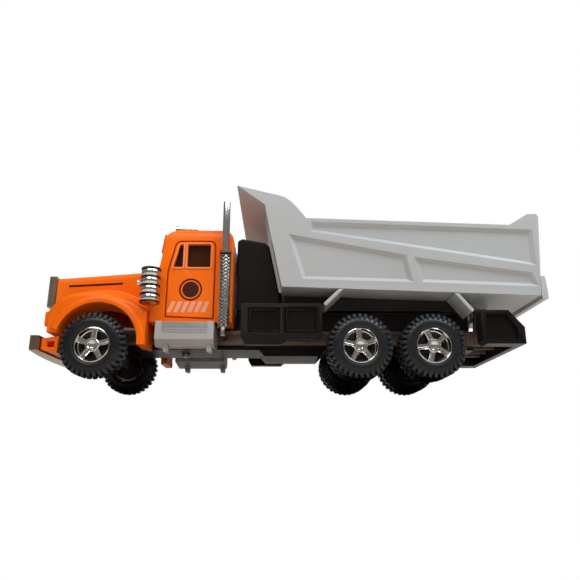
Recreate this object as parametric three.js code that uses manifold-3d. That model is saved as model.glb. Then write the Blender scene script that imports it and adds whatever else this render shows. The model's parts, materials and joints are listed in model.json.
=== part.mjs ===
// Toy dump truck, about 1:32 scale: conventional cab, tandem rear axles and a tipping bed.
// Millimetres. +X points forward, +Y to the truck's left, +Z up. The origin is on the ground
// under the middle of the truck.

import * as THREE from 'three';
import Module from 'manifold-3d';
import { mergeVertices } from 'three/addons/utils/BufferGeometryUtils.js';
import { ConvexGeometry } from 'three/addons/geometries/ConvexGeometry.js';

const wasm = await Module();
wasm.setup();

// ---------------------------------------------------------------- driving dimensions

const GAP = 0.3;                      // clearance between separate pieces
const SIDES = [['left', 1], ['right', -1]];

const TYRE_R = 17;
const TYRE_W = 9.6;
const BORE_R = 9.4;
const AXLE_R = 1.5;
const AXLE_Z = 17;
const AXLES_X = { front: 101.5, rear_1: -36.5, rear_2: -74.5 };
const TYRE_OUTER_Y = 42.5;
const DUAL_PITCH = 10.6;              // from the outer to the inner rear tyre

const FRAME = { rear: -118, front: 118, half: 20, bottom: 21.2, top: 29.1, rail: 3 };
const BELLY = { rear: -104, front: 112, half: 14, bottom: 19.4, blockBottom: 12.7, blockHalf: 5 };
const TRAY = { rear: -20, front: 18, bottom: 16, slope: 4 };
const DECK = { front: 3, rear: -100, half: 20.4, wide: 24.6, waist: 39.4, drop: 0.6, skin: 3 };
const FLAP = { inner: 25, outer: 41.8, thick: 2 };

const HOOD = { front: 131, rear: 75.2, frontHalf: 20, rearHalf: 26.5, frontTop: 59.5, rearTop: 61.8 };
const HOOD_SKIN = 2.4;
const HOOD_BOTTOM = 31;
const GRILLE = { bottom: 42, top: 60.2, half: 20.5, depth: 4.2 };
const FENDER = { inner: 17, outer: 40, arch: 21.3, archX: 100.5, archZ: 18.5, lip: 3.6, lipOut: 0.9 };

const CAB = { half: 35, front: 74.7, rear: 31, floor: 30.4, skin: 2.2, corner: 6 };
const CAB_ROOF = { frontX: 68, frontZ: 81, topX: 62, topZ: 84.5, rearZ: 83, cowlX: 71, cowlZ: 60 };

const VISOR = { half: 33.5, drop: 10.6, thick: 1.1, flare: 1.5 };
const BUMPER = { rear: 129.4, depth: 4.6, crown: 3.2, half: 40, bottom: 14.4, top: 22.2 };

const STACK = { x: 35, y: 38.6, top: 98.4, r: 1.95, shieldR: 3.1, shieldBottom: 26.8, shieldTop: 68.5 };
const STACK_FOOT = { bottom: 22.5, r: 1.35 };
const CLEANER = { x: 74, y: 40.3, bottom: 39.3, top: 59.2, r: 5 };

const TANK = { front: 70, rear: 39.6, inner: 21, outer: 41, bottom: 16.5, top: 29.6 };
const HOIST = { half: 26, front: 29.6, shoulder: 80, top: 81.5, rearTop: 77, clear: 1.3, waist: 39.4 };

const SIDE_BOX = { front: 25.6, rear: -16.7, inner: 33, outer: 42, bottom: 18, top: 39 };
const BOX_ARM = { half: 1.6, bottom: 23, top: 27.5, fromEnds: 6 };
const REAR_BOX = { front: -100, rear: -122.3, bottom: 18, top: 35.9, inner: 33, outer: 42 };

const BED = { half: 41.5, wall: 3.4, floor: 2.6, recess: 1.8 };
const BED_PIVOT = { x: -107.5, z: 39, r: 1.5 };
const GATE_PIVOT = { x: -132.2, z: 86.6, r: 1.1, barrel: 2.3 };
const BED_FRONT = { x: 4.5, z: 48.5 };
const BED_REAR = { x: -133.3, z: 44.1 };
const BED_PEAK = { rearX: -137, z: 91 };
const CANOPY = { rootX: 14, rootZ: 95.7, tipX: 29.5, tipZ: 107 };

// ---------------------------------------------------------------- materials

const paint = (color, roughness, metalness) => () =>
  new THREE.MeshStandardMaterial({ color, roughness, metalness });

const MATERIALS = {
  orange: paint(0xe8560a, 0.38, 0.0),
  chrome: paint(0xd9d6d0, 0.14, 1.0),
  grille: paint(0x9a7a5c, 0.3, 0.8),
  black: paint(0x17161a, 0.55, 0.0),
  frame: paint(0x77706a, 0.5, 0.0),
  bed: paint(0xb9b7b9, 0.45, 0.0),
  silver: paint(0x9c9690, 0.4, 0.3),
  rubber: paint(0x1b1d20, 0.7, 0.0),
  steel: paint(0xa6a6a6, 0.3, 1.0),
  glass: paint(0x3a241a, 0.12, 0.0),
  lamp: paint(0xa01812, 0.25, 0.0),
};

// ---------------------------------------------------------------- solids

// A closed geometry as a solid that can be joined and cut.
function solid(geometry) {
  const bare = geometry.clone();
  bare.deleteAttribute('normal');
  bare.deleteAttribute('uv');
  const merged = mergeVertices(bare, 1e-4);
  const vertProperties = new Float32Array(merged.attributes.position.array);
  const triVerts = new Uint32Array(merged.index.array);
  return new wasm.Manifold(new wasm.Mesh({ numProp: 3, vertProperties, triVerts }));
}

function geometryOf(body) {
  const mesh = body.getMesh();
  const geometry = new THREE.BufferGeometry();
  geometry.setAttribute('position', new THREE.BufferAttribute(new Float32Array(mesh.vertProperties), 3));
  geometry.setIndex(new THREE.BufferAttribute(new Uint32Array(mesh.triVerts), 1));
  geometry.computeVertexNormals();
  return geometry;
}

const join = (...bodies) => bodies.reduce((all, body) => all.add(body));
const cut = (body, ...tools) => tools.reduce((rest, tool) => rest.subtract(tool), body);

function block(x0, x1, y0, y1, z0, z1) {
  const geometry = new THREE.BoxGeometry(Math.abs(x1 - x0), Math.abs(y1 - y0), Math.abs(z1 - z0));
  geometry.translate((x0 + x1) / 2, (y0 + y1) / 2, (z0 + z1) / 2);
  return solid(geometry);
}

const outline = (points) => new THREE.Shape(points.map(([a, b]) => new THREE.Vector2(a, b)));

function prism(shape, length, segments = 6) {
  return new THREE.ExtrudeGeometry(shape, { depth: length, bevelEnabled: false, curveSegments: segments });
}

// A side profile given as (x, z), standing between two y values.
function sidePrism(points, y0, y1) {
  const geometry = prism(outline(points), Math.abs(y1 - y0));
  geometry.rotateX(Math.PI / 2);
  geometry.translate(0, Math.max(y0, y1), 0);
  return solid(geometry);
}

// A front profile given as (y, z), running between two x values.
function frontPrism(points, x0, x1) {
  const geometry = prism(outline(points), Math.abs(x1 - x0));
  geometry.rotateX(Math.PI / 2);
  geometry.rotateZ(Math.PI / 2);
  geometry.translate(Math.min(x0, x1), 0, 0);
  return solid(geometry);
}

// A plan profile given as (x, y), standing between two z values.
function planPrism(points, z0, z1) {
  const geometry = prism(outline(points), Math.abs(z1 - z0));
  geometry.translate(0, 0, Math.min(z0, z1));
  return solid(geometry);
}

function hull(points) {
  return solid(new ConvexGeometry(points.map(([x, y, z]) => new THREE.Vector3(x, y, z))));
}

// A turned piece about a vertical axis, from (radius, z) points that start and end on the axis.
function turnedZ(points, x, y, segments = 24) {
  const geometry = new THREE.LatheGeometry(points.map(([r, z]) => new THREE.Vector2(r, z)), segments);
  geometry.rotateX(Math.PI / 2);
  geometry.translate(x, y, 0);
  return solid(geometry);
}

// A turned piece about a cross axis, from (radius, y) points.
function turnedY(points, x, z, segments = 24) {
  const geometry = new THREE.LatheGeometry(points.map(([r, y]) => new THREE.Vector2(r, y)), segments);
  geometry.translate(x, 0, z);
  return solid(geometry);
}

const rodY = (x, z, r, y0, y1, segments = 16) =>
  turnedY([[0, y0], [r, y0], [r, y1], [0, y1]], x, z, segments);

const rodZ = (x, y, r, z0, z1, segments = 16) =>
  turnedZ([[0, z0], [r, z0], [r, z1], [0, z1]], x, y, segments);

// The same piece on the truck's other side.
const mirrored = (body, side) => (side > 0 ? body : body.mirror([0, 1, 0]));

const truck = new THREE.Group();

function place(name, body, material, parent = truck) {
  const mesh = new THREE.Mesh(geometryOf(body), MATERIALS[material]());
  mesh.name = name;
  parent.add(mesh);
}

// ---------------------------------------------------------------- chassis

const onAxles = (make) => Object.values(AXLES_X).map(make);
const AXLE_BORE_R = AXLE_R + GAP + 0.05;

// Moulded channel frame: a top web on two side rails and two inner ribs, with hinge lugs behind.
function chassisFrame() {
  const { rear, front, half, bottom, top, rail } = FRAME;
  const ribHalf = 6;
  const ribThick = 1.5;
  const webBottom = top - 2;
  const web = block(rear, front, -half, half, webBottom, top);
  const strips = [];
  for (const [, side] of SIDES) {
    strips.push(block(rear, front, side * (half - rail), side * half, bottom, webBottom + 1));
    strips.push(block(rear, front, side * ribHalf, side * (ribHalf + ribThick), bottom, webBottom + 1));
    strips.push(hingeLug(side * (half - rail), side * half, top - 1));
  }
  const grooves = SIDES.map(([, side]) =>
    block(rear + 20, front - 12, side * (half - 0.9), side * (half + 1), bottom + 2, top - 2));
  return cut(join(web, ...strips), ...grooves, rodY(BED_PIVOT.x, BED_PIVOT.z, BED_PIVOT.r + GAP, -half - 1, half + 1));
}

function hingeLug(y0, y1, bottom) {
  const reach = 4.6;
  const { x, z } = BED_PIVOT;
  return sidePrism([[x - reach, bottom], [x + reach, bottom], [x + 3, z + 3], [x - 3, z + 3]],
    Math.min(y0, y1), Math.max(y0, y1));
}

// Black base plate nearly flush with the rails, with axle blocks and a shallow tray amidships.
function chassisBelly() {
  const { rear, front, half, bottom, blockBottom, blockHalf } = BELLY;
  const top = FRAME.bottom - GAP;
  const plate = block(rear, front, -half, half, bottom, top);
  const tray = sidePrism([[TRAY.rear, top - 0.5], [TRAY.rear + TRAY.slope, TRAY.bottom],
    [TRAY.front - TRAY.slope, TRAY.bottom], [TRAY.front, top - 0.5]], -half, half);
  const blocks = onAxles((x) =>
    block(x - blockHalf, x + blockHalf, -half - 2, half + 2, blockBottom, top));
  const bores = onAxles((x) => rodY(x, AXLE_Z, AXLE_BORE_R, -half - 3, half + 3, 24));
  return cut(join(plate, tray, ...blocks), ...bores);
}

// Raised black deck that carries the bed: narrow on the frame, wider just under the bed floor.
function bedSupportDeck() {
  const { front, rear, half, wide, waist, drop, skin } = DECK;
  const bottom = FRAME.top + GAP;
  const edge = (lowest, inset) => [[rear + inset, lowest], [front - inset, lowest],
    [front - inset, bedBottom(front - inset) - drop - inset], [rear + inset, bedBottom(rear + inset) - drop - inset]];
  const narrow = sidePrism(edge(bottom, 0), -half, half);
  const upper = sidePrism(edge(waist, 0), -wide, wide);
  const cells = SIDES.map(([, side]) =>
    sidePrism(edge(bottom - 1, skin), side * skin / 2, side * (half - skin)));
  return cut(join(narrow, upper), ...cells);
}

// Orange cross beam behind the front bumper, with a taller middle that reaches up to the hood.
function bumperSupport() {
  const rear = FRAME.front + GAP;
  const front = BUMPER.rear - GAP;
  const half = BUMPER.half - 2.5;
  const top = BUMPER.bottom + 8;
  const beam = sidePrism([[rear + 2, BUMPER.bottom - 1], [front, BUMPER.bottom + 0.8], [front, top - 1.4],
    [rear + 2, top]], -half, half);
  const middle = block(rear, rear + 6, -FRAME.half, FRAME.half, BUMPER.bottom, HOOD_BOTTOM + 6);
  const ends = SIDES.map(([, side]) =>
    block(rear + 4, front - 3, side * (half - 6), side * (half + 1), BUMPER.bottom + 2, top - 3));
  return cut(join(beam, middle), ...ends);
}

// Bumper bar with a crowned front, from a plan outline.
function frontBumper() {
  const { rear, depth, crown, half, bottom, top } = BUMPER;
  const steps = 8;
  const face = [];
  for (let i = 0; i <= steps; i += 1) {
    const t = (2 * i) / steps - 1;
    face.push([rear + depth + crown * (1 - t * t), half * t]);
  }
  const bar = planPrism([[rear, half], [rear, -half], ...face], bottom, top);
  const chamfer = sidePrism([[rear + 1, top + 1], [rear + depth + 8, top + 1], [rear + depth + 8, top - 3],
    [rear + depth + crown, top - 2.4], [rear + 3, top]], -half - 1, half + 1);
  return bar.intersect(block(rear, rear + depth + crown + 1, -half, half, bottom, top)).subtract(
    chamfer.intersect(block(rear + depth + crown - 1.2, rear + 20, -half - 1, half + 1, top - 4, top + 2)));
}

// ---------------------------------------------------------------- hood and front end

function hoodBlock(inset, bottom) {
  const soft = 3;
  const points = [];
  const ends = [[HOOD.front - inset, HOOD.frontHalf, HOOD.frontTop], [HOOD.rear + inset, HOOD.rearHalf, HOOD.rearTop]];
  for (const [x, half, top] of ends) {
    for (const side of [1, -1]) {
      points.push([x, side * (half - inset), bottom]);
      points.push([x, side * (half - inset), top - inset - soft]);
      points.push([x, side * (half - inset - soft), top - inset]);
    }
  }
  return hull(points);
}

// One fender: the side profile over the wheel, falling away from the hood to its outer edge.
function fenderBlock(side) {
  const { inner, outer } = FENDER;
  const profile = [[126, 24], [126.6, 36], [124, 42.5], [113, 46.5], [92, 46.5], [81, 40], [HOOD.rear, 36],
    [HOOD.rear, 17.4], [78, 17.4], [82, 24]];
  const body = sidePrism(profile, side * inner, side * outer);
  const shoulder = hull([[130, side * outer, 41], [70, side * outer, 41], [130, side * outer, 60],
    [70, side * outer, 60], [130, side * 30, 60], [70, side * 30, 60]].concat(
    [[130, side * (outer + 2), 41], [70, side * (outer + 2), 41]]));
  return body.subtract(shoulder);
}

function archLip(side) {
  const { arch, archX, archZ, lip, lipOut, outer } = FENDER;
  const ring = rodY(archX, archZ, arch + lip, Math.min(side * (outer - 3), side * (outer + lipOut)),
    Math.max(side * (outer - 3), side * (outer + lipOut)), 48);
  return ring.intersect(block(78, 125.4, -50, 50, 24, 60));
}

function hoodShell() {
  const fenders = SIDES.map(([, side]) => fenderBlock(side));
  const lips = SIDES.map(([, side]) => archLip(side));
  const wells = rodY(FENDER.archX, FENDER.archZ, FENDER.arch, -60, 60, 48);
  const below = block(60, 140, -60, 60, 0, 17.4);
  const hollow = hoodBlock(HOOD_SKIN, 10);
  const frameRoom = block(60, FRAME.front + 8, -FRAME.half - 0.6, FRAME.half + 0.6, 0, HOOD_BOTTOM + 6.6);
  const body = join(hoodBlock(0, HOOD_BOTTOM), ...fenders, ...lips);
  return cut(body, wells, below, hollow, frameRoom);
}

function grilleSurround() {
  const { bottom, top, half, depth } = GRILLE;
  const rear = HOOD.front + GAP;
  const bar = 2.2;
  const ring = block(rear, rear + depth, -half, half, bottom, top);
  const opening = block(rear - 1, rear + depth + 1, -half + bar, half - bar, bottom + bar, top - bar);
  return cut(ring, opening);
}

function radiatorMesh() {
  const { bottom, top, half, depth } = GRILLE;
  const rear = HOOD.front + GAP;
  const bar = 2.2 + GAP;
  const slat = 1;
  const pitch = 3;
  const count = 11;
  let body = block(rear, rear + 1.6, -half + bar, half - bar, bottom + bar, top - bar);
  for (let i = 0; i < count; i += 1) {
    const y = (i - (count - 1) / 2) * pitch;
    body = body.add(block(rear, rear + depth - 1, y - slat / 2, y + slat / 2, bottom + bar, top - bar));
  }
  return body;
}

function headlight(side) {
  const x = 126.6 + GAP;
  return block(x, x + 1.6, side * 25, side * 38, 27.5, 35.5);
}

// ---------------------------------------------------------------- cab

function cabProfile(inset, floor) {
  const { frontX, frontZ, topX, topZ, rearZ, cowlX, cowlZ } = CAB_ROOF;
  return [[CAB.rear + inset, floor], [CAB.front - inset, floor], [CAB.front - inset, cowlZ - 2],
    [cowlX - inset, cowlZ], [frontX - inset, frontZ - inset], [topX - inset, topZ - inset],
    [CAB.rear + inset + 4, rearZ - inset + 0.6], [CAB.rear + inset, rearZ - inset - 3]];
}

function cabFrontProfile(inset, floor) {
  const half = CAB.half - inset;
  const top = CAB_ROOF.topZ - inset + 0.1;
  const corner = CAB.corner;
  return [[-half, floor], [half, floor], [half, top - corner], [half - 1.8, top - 1.8], [half - corner, top],
    [-half + corner, top], [-half + 1.8, top - 1.8], [-half, top - corner]];
}

const cabVolume = (inset, floor) =>
  sidePrism(cabProfile(inset, floor), -CAB.half + inset, CAB.half - inset).intersect(
    frontPrism(cabFrontProfile(inset, floor), CAB.rear - 1, CAB.front + 1));

const WINDOWS = {
  main: [[56, 61.1], [56, 74.4], [43.4, 74.4], [43.4, 61.1]],
  quarter: [[63.6, 61.1], [60, 73.8], [58.2, 73.8], [58.2, 61.1]],
};
const WINDSHIELD = { inner: 1.6, outer: 28.5, bottom: 63.5, top: 78 };
const REAR_WINDOW = { half: 13, bottom: 64, top: 76 };
const DOOR = [[66.7, 33], [66.7, 58.5], [62.4, 75.6], [40.4, 75.6], [40.4, 31.9]];
const DOOR_GROOVE = 0.7;

function doorGroove(side) {
  const y = side * CAB.half;
  const outer = sidePrism(DOOR, y - DOOR_GROOVE, y + DOOR_GROOVE);
  const centre = [53.5, 54];
  const shrunk = DOOR.map(([x, z]) =>
    [centre[0] + (x - centre[0]) * 0.945, centre[1] + (z - centre[1]) * 0.962]);
  return outer.subtract(sidePrism(shrunk, y - 2 * DOOR_GROOVE, y + 2 * DOOR_GROOVE));
}

function cabShell() {
  const cutters = [cabVolume(CAB.skin, CAB.floor - 5)];
  for (const [, side] of SIDES) {
    const inside = side * (CAB.half - 5);
    const outside = side * (CAB.half + 2);
    cutters.push(sidePrism(WINDOWS.main, inside, outside));
    cutters.push(sidePrism(WINDOWS.quarter, inside, outside));
    cutters.push(doorGroove(side));
    cutters.push(block(CAB.front - 15, CAB.front + 2, side * WINDSHIELD.inner, side * WINDSHIELD.outer,
      WINDSHIELD.bottom, WINDSHIELD.top));
  }
  cutters.push(block(CAB.rear - 1, CAB.rear + 4, -REAR_WINDOW.half, REAR_WINDOW.half,
    REAR_WINDOW.bottom, REAR_WINDOW.top));
  return cut(cabVolume(0, CAB.floor), ...cutters);
}

// Smoked window insert: a thin-walled hood that lines the inside of the cab's upper half.
function cabGlazing() {
  const thick = 1.2;
  const lowest = 62.2;
  const outer = cabVolume(CAB.skin + GAP, CAB.floor);
  const inner = cabVolume(CAB.skin + GAP + thick, CAB.floor);
  const upper = block(CAB.rear, CAB.front, -CAB.half, CAB.half, lowest, CAB_ROOF.topZ);
  return outer.intersect(upper).subtract(inner);
}

// Seat bench, dashboard and floor tray in one moulding.
function cabInterior() {
  const half = CAB.half - CAB.skin - GAP - 0.6;
  const floor = FRAME.top + GAP;
  const rear = CAB.rear + CAB.skin + 1;
  const front = CAB.front - CAB.skin - 1;
  const tray = block(rear, front, -half, half, floor + 1.6, floor + 3.6);
  const bench = sidePrism([[rear, floor + 2], [rear + 17, floor + 2], [rear + 17, 44], [rear + 6, 43],
    [rear + 3, 58], [rear, 58]], -half + 4, half - 4);
  const dash = sidePrism([[front - 7, floor + 2], [front, floor + 2], [front, 56.5], [front - 4, 57],
    [front - 9, 52]], -half + 2, half - 2);
  return join(tray, bench, dash);
}

function steeringWheel() {
  const profile = [[0, 0], [7, 0], [7.4, 0.8], [7, 1.6], [5.8, 1.6], [5.6, 0.9], [2, 0.9], [1.6, 2], [0, 2]];
  const geometry = new THREE.LatheGeometry(profile.map(([r, y]) => new THREE.Vector2(r, y)), 24);
  geometry.rotateZ(Math.PI / 3.4);
  geometry.translate(57.5, 15, 57.5);
  return solid(geometry);
}

// Thin visor that follows the windshield's slope and flares forward at its lower edge.
function sunVisor() {
  const { half, drop, thick, flare } = VISOR;
  const { frontX, frontZ } = CAB_ROOF;
  const rear = frontX + GAP;
  return sidePrism([[rear + flare + 0.2, frontZ - drop], [rear + flare + thick, frontZ - drop - 0.2],
    [rear + thick, frontZ - 0.6], [rear + 0.1, frontZ]], -half, half);
}

function airHorn(side) {
  const y = side * 20;
  const z = 89.2;
  const points = [[0, 53], [0.9, 53], [1, 60], [1.9, 66], [0, 66]];
  const geometry = new THREE.LatheGeometry(points.map(([r, x]) => new THREE.Vector2(r, x)), 16);
  geometry.rotateZ(-Math.PI / 2);
  geometry.translate(0, y, z);
  const foot = block(56.5, 60, y - 0.8, y + 0.8, CAB_ROOF.topZ + GAP, z - 0.2);
  return join(solid(geometry), foot);
}

// ---------------------------------------------------------------- pieces along the sides

function exhaustStack(side) {
  const { x, y, top, r, shieldBottom, shieldTop } = STACK;
  const { bottom, r: footR } = STACK_FOOT;
  const wall = 0.6;
  const pipe = turnedZ([[0, bottom], [footR, bottom], [footR, top - 3], [r, top - 3], [r, top], [r - wall, top],
    [r - wall, top - 2], [0, top - 2]], x, side * y, 20);
  const sleeve = rodZ(x, side * y, r, shieldTop - 4, top - 3, 20);
  const bracket = block(x - 0.8, x + 0.8, side * (FRAME.half + GAP), side * y, bottom + 1, bottom + 3);
  return join(pipe, sleeve.subtract(rodZ(x, side * y, footR - 0.1, shieldTop - 5, top, 20)), bracket);
}

function heatShield(side) {
  const { x, y, shieldR, shieldBottom, shieldTop } = STACK;
  const inner = STACK.r + GAP + 0.1;
  const wall = [[inner, shieldBottom], [shieldR - 0.3, shieldBottom], [shieldR - 0.3, shieldTop - 2.6],
    [shieldR, shieldTop - 2.4], [shieldR, shieldTop - 0.4], [shieldR - 0.4, shieldTop], [inner, shieldTop]];
  return turnedZ([...wall, wall[0]], x, side * y, 24);
}

function airCleaner(side) {
  const { x, y, bottom, top, r } = CLEANER;
  const height = top - bottom;
  const bands = [0.2, 0.45, 0.68];
  const points = [[0, bottom], [r * 0.8, bottom], [r * 0.95, bottom + 1.4]];
  for (const t of bands) {
    const z = bottom + height * t;
    points.push([r, z - 1.4], [r * 0.86, z - 0.6], [r * 0.86, z + 0.6], [r, z + 1.4]);
  }
  points.push([r * 0.95, top - 2.4], [r * 0.72, top - 2], [r * 0.8, top - 1.4], [r * 0.8, top - 0.6], [0, top]);
  const can = turnedZ(points, x, side * y, 24);
  const neck = block(x + 2, x + 7, side * (y - 3.6), side * (y - 1), 47.5, 51);
  const post = block(x - 1, x + 0.4, side * (y - 4.8), side * (y - 3), bottom + 3, bottom + 6);
  return join(can, neck, post);
}

// Fuel tank with its step: rounded front corner, tread plate outside and two feet below.
function fuelTank(side) {
  const { front, rear, inner, outer, bottom, top } = TANK;
  const low = 3.5;
  const body = frontPrism([[side * inner, bottom + 2], [side * (outer - low), bottom], [side * outer, bottom + low],
    [side * outer, top - 4.4], [side * (outer - 1.6), top - 4.4], [side * (outer - 1.6), top], [side * inner, top]],
    rear, front);
  const ends = [front - 3.4, rear].map((x) => block(x, x + 3.4, side * (outer - 2), side * (outer + 0.2),
    bottom + low, top));
  const feet = [front - 7, rear + 1].map((x) => sidePrism([[x, bottom - 2.6], [x + 2.4, bottom - 2.6],
    [x + 3.4, bottom + 3], [x, bottom + 3]], side * (outer - 8), side * (outer - 2)));
  return join(body, ...ends, ...feet);
}

// Shallow tool box with two recessed doors on two arms from the frame; its front half hangs lower.
function sideBox(side) {
  const { front, rear, inner, outer, bottom, top } = SIDE_BOX;
  const profile = [[front, bottom + 3.5], [front - 2, bottom], [5, bottom], [2, bottom + 2.6], [rear + 2, bottom + 2.6],
    [rear, bottom + 5], [rear, top], [front, top]];
  const body = sidePrism(profile, side * inner, side * outer);
  const depth = 1.6;
  const doors = [[5.3, 22], [-13.4, 2.7]].map(([x0, x1]) =>
    block(x0, x1, side * (outer - depth), side * (outer + 1), 23.4, 36.8));
  const heel = hull([[front + 1, side * outer + side, bottom + 6], [front + 1, side * outer + side, bottom - 1],
    [front + 1, side * (outer - 5), bottom - 1], [rear - 1, side * outer + side, bottom + 6],
    [rear - 1, side * outer + side, bottom - 1], [rear - 1, side * (outer - 5), bottom - 1]]);
  const arms = [front - BOX_ARM.fromEnds, rear + BOX_ARM.fromEnds].map((x) =>
    block(x - BOX_ARM.half, x + BOX_ARM.half, side * (FRAME.half + GAP), side * (inner + 1), BOX_ARM.bottom, BOX_ARM.top));
  return join(cut(body, ...doors, heel), ...arms);
}

// Rear cross beam with a box at each end; the upper rear edge is cut back for the tipping bed.
function rearBumper() {
  const { front, rear, bottom, top, inner, outer } = REAR_BOX;
  const chamfer = [[rear + 7.8, top], [rear, top - 9.1]];
  const profile = [[front, bottom + 2], [front - 2, bottom], [rear, bottom], ...[...chamfer].reverse(), [front, top]];
  const ends = SIDES.map(([, side]) => sidePrism(profile, side * inner, side * outer));
  const beam = block(rear, rear + 3.6, -inner - 1, inner + 1, bottom, bottom + 9);
  const door = [[front - 3, 20.6], [rear + 4, 20.6], [rear + 4, top - 9.6], [rear + 9.4, top - 2.2], [front - 3, top - 2.2]];
  const recesses = SIDES.map(([, side]) => sidePrism(door, side * (outer - 1.6), side * (outer + 1)));
  return cut(join(...ends, beam), ...recesses);
}

const tailLamp = (side) => {
  const x = REAR_BOX.rear - GAP;
  return block(x - 1.1, x, side * 26, side * 38, 19.6, 24.4);
};

// Oil tank of the tipping gear, standing between the cab and the leaning bulkhead.
function hoistTank() {
  const { half, front, shoulder, top, rearTop, clear, waist } = HOIST;
  const lean = (CANOPY.rootX - BED_FRONT.x) / (CANOPY.rootZ - BED_FRONT.z);
  const rearX = (z) => BED_FRONT.x + Math.max(0, z - BED_FRONT.z) * lean + clear;
  const upper = sidePrism([[rearX(0), waist], [front, waist], [front, shoulder], [front - 2.6, top],
    [rearX(rearTop) + 2.4, rearTop + 2], [rearX(rearTop), rearTop], [rearX(BED_FRONT.z), BED_FRONT.z]], -half, half);
  const foot = block(rearX(0), front, -DECK.half, DECK.half, FRAME.top + GAP, waist + 1);
  return join(upper, foot);
}

function chassisScrew(x) {
  const top = BELLY.bottom - GAP;
  return turnedZ([[0, top - 1.6], [2, top - 1.6], [2.4, top - 0.8], [2.4, top], [0, top]], x, 0, 16);
}

// ---------------------------------------------------------------- bed and tailgate

// Height of the bed's underside at a given x.
const bedBottom = (x) =>
  BED_REAR.z + ((x - BED_REAR.x) / (BED_FRONT.x - BED_REAR.x)) * (BED_FRONT.z - BED_REAR.z);

const BED_OUTLINE = [
  [BED_FRONT.x, BED_FRONT.z], [CANOPY.rootX, CANOPY.rootZ], [CANOPY.tipX, CANOPY.tipZ],
  [3.7, 100.6], [-3.2, 95.4], [-8.6, 87.7], [-120.5, 84.3], [-131, 90.8], [BED_PEAK.rearX + 1, BED_PEAK.z], [BED_PEAK.rearX, BED_PEAK.z - 2],
  [BED_REAR.x, BED_REAR.z],
];

const LOAD_SPACE = [
  [BED_FRONT.x - 2.2, BED_FRONT.z + BED.floor], [CANOPY.rootX - 1.9, CANOPY.rootZ + 1.4],
  [CANOPY.tipX - 1.2, CANOPY.tipZ + 1.2], [CANOPY.tipX - 1.2, CANOPY.tipZ + 12],
  [-145, CANOPY.tipZ + 12], [-145, BED_REAR.z + BED.floor - 0.3],
];

// Recessed fields of the side panel: above the diagonal rib, and in front of and behind the stub rib.
const SIDE_FIELDS = [
  [[-13.4, 83.6], [-130.6, 79.7], [-130.6, 61.9], [-13.4, 80.6]],
  [[-1.7, 77], [-60.8, 65.8], [-63.4, 52.2], [-7, 53.4]],
  [[-68.4, 64.4], [-129.2, 56], [-131.4, 49.8], [-71.4, 51.9]],
];

function bedShell() {
  const { half, wall, recess } = BED;
  const outer = sidePrism(BED_OUTLINE, -half, half);
  const load = sidePrism(LOAD_SPACE, -half + wall, half - wall);
  const fields = [];
  for (const [, side] of SIDES) {
    for (const field of SIDE_FIELDS) {
      fields.push(sidePrism([...field].reverse(), side * (half - recess), side * (half + 1)));
    }
  }
  const gatePin = rodY(GATE_PIVOT.x, GATE_PIVOT.z, GATE_PIVOT.r + GAP, -half - 1, half + 1);
  const lugs = SIDES.map(([, side]) => bedLug(side));
  const posts = SIDES.map(([, side]) => bulkheadRib(side * 28));
  return cut(join(cut(outer, load, ...fields, gatePin), ...lugs, ...posts),
    rodY(BED_PIVOT.x, BED_PIVOT.z, BED_PIVOT.r + GAP, -FRAME.half, FRAME.half));
}

function bedLug(side) {
  const { x, z } = BED_PIVOT;
  const outer = FRAME.half - FRAME.rail - GAP;
  return sidePrism([[x - 6, bedBottom(x - 6) + 0.6], [x - 3, z - 3.4], [x + 3, z - 3.4], [x + 6, bedBottom(x + 6) + 0.6]]
    .reverse(), side * (outer - 4), side * outer);
}

// Upright rib on the front of the bulkhead.
function bulkheadRib(y) {
  const proud = 1.5;
  return sidePrism([[BED_FRONT.x - 0.6, BED_FRONT.z + 0.2], [BED_FRONT.x + proud, BED_FRONT.z + 0.2],
    [CANOPY.rootX + proud - 1.2, CANOPY.rootZ - 4], [CANOPY.rootX - 1.6, CANOPY.rootZ - 4]], y - 1, y + 1);
}

// The flaps' sloping upper faces, from under the bed down to the free edge.
const FLAP_FACES = {
  front: [[-25.7, 47.2], [-17.4, 39.2]],
  rear: [[-89.5, 45.1], [-97, 35.9]],
};

// Sloped mud flap under the bed's side, in front of or behind the tandem wheels.
function mudFlap(side, end) {
  const { inner, outer, thick } = FLAP;
  const [[topX, topZ], [lowX, lowZ]] = FLAP_FACES[end];
  const slope = (lowX - topX) / (topZ - lowZ);
  const length = Math.hypot(lowX - topX, lowZ - topZ);
  const across = [((lowZ - topZ) / length) * thick * Math.sign(slope), (-Math.abs(lowX - topX) / length) * thick];
  const lowBack = [lowX + across[0], lowZ + across[1]];
  const topBack = [lowBack[0] - slope * (topZ - lowBack[1]), topZ];
  return sidePrism([[topX, topZ], [lowX, lowZ], lowBack, topBack], side * inner, side * outer);
}

// X of the side walls' rear edge at a given height.
const wallRear = (z) =>
  BED_REAR.x + ((z - BED_REAR.z) / (BED_PEAK.z - 2 - BED_REAR.z)) * (BED_PEAK.rearX - BED_REAR.x);

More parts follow.
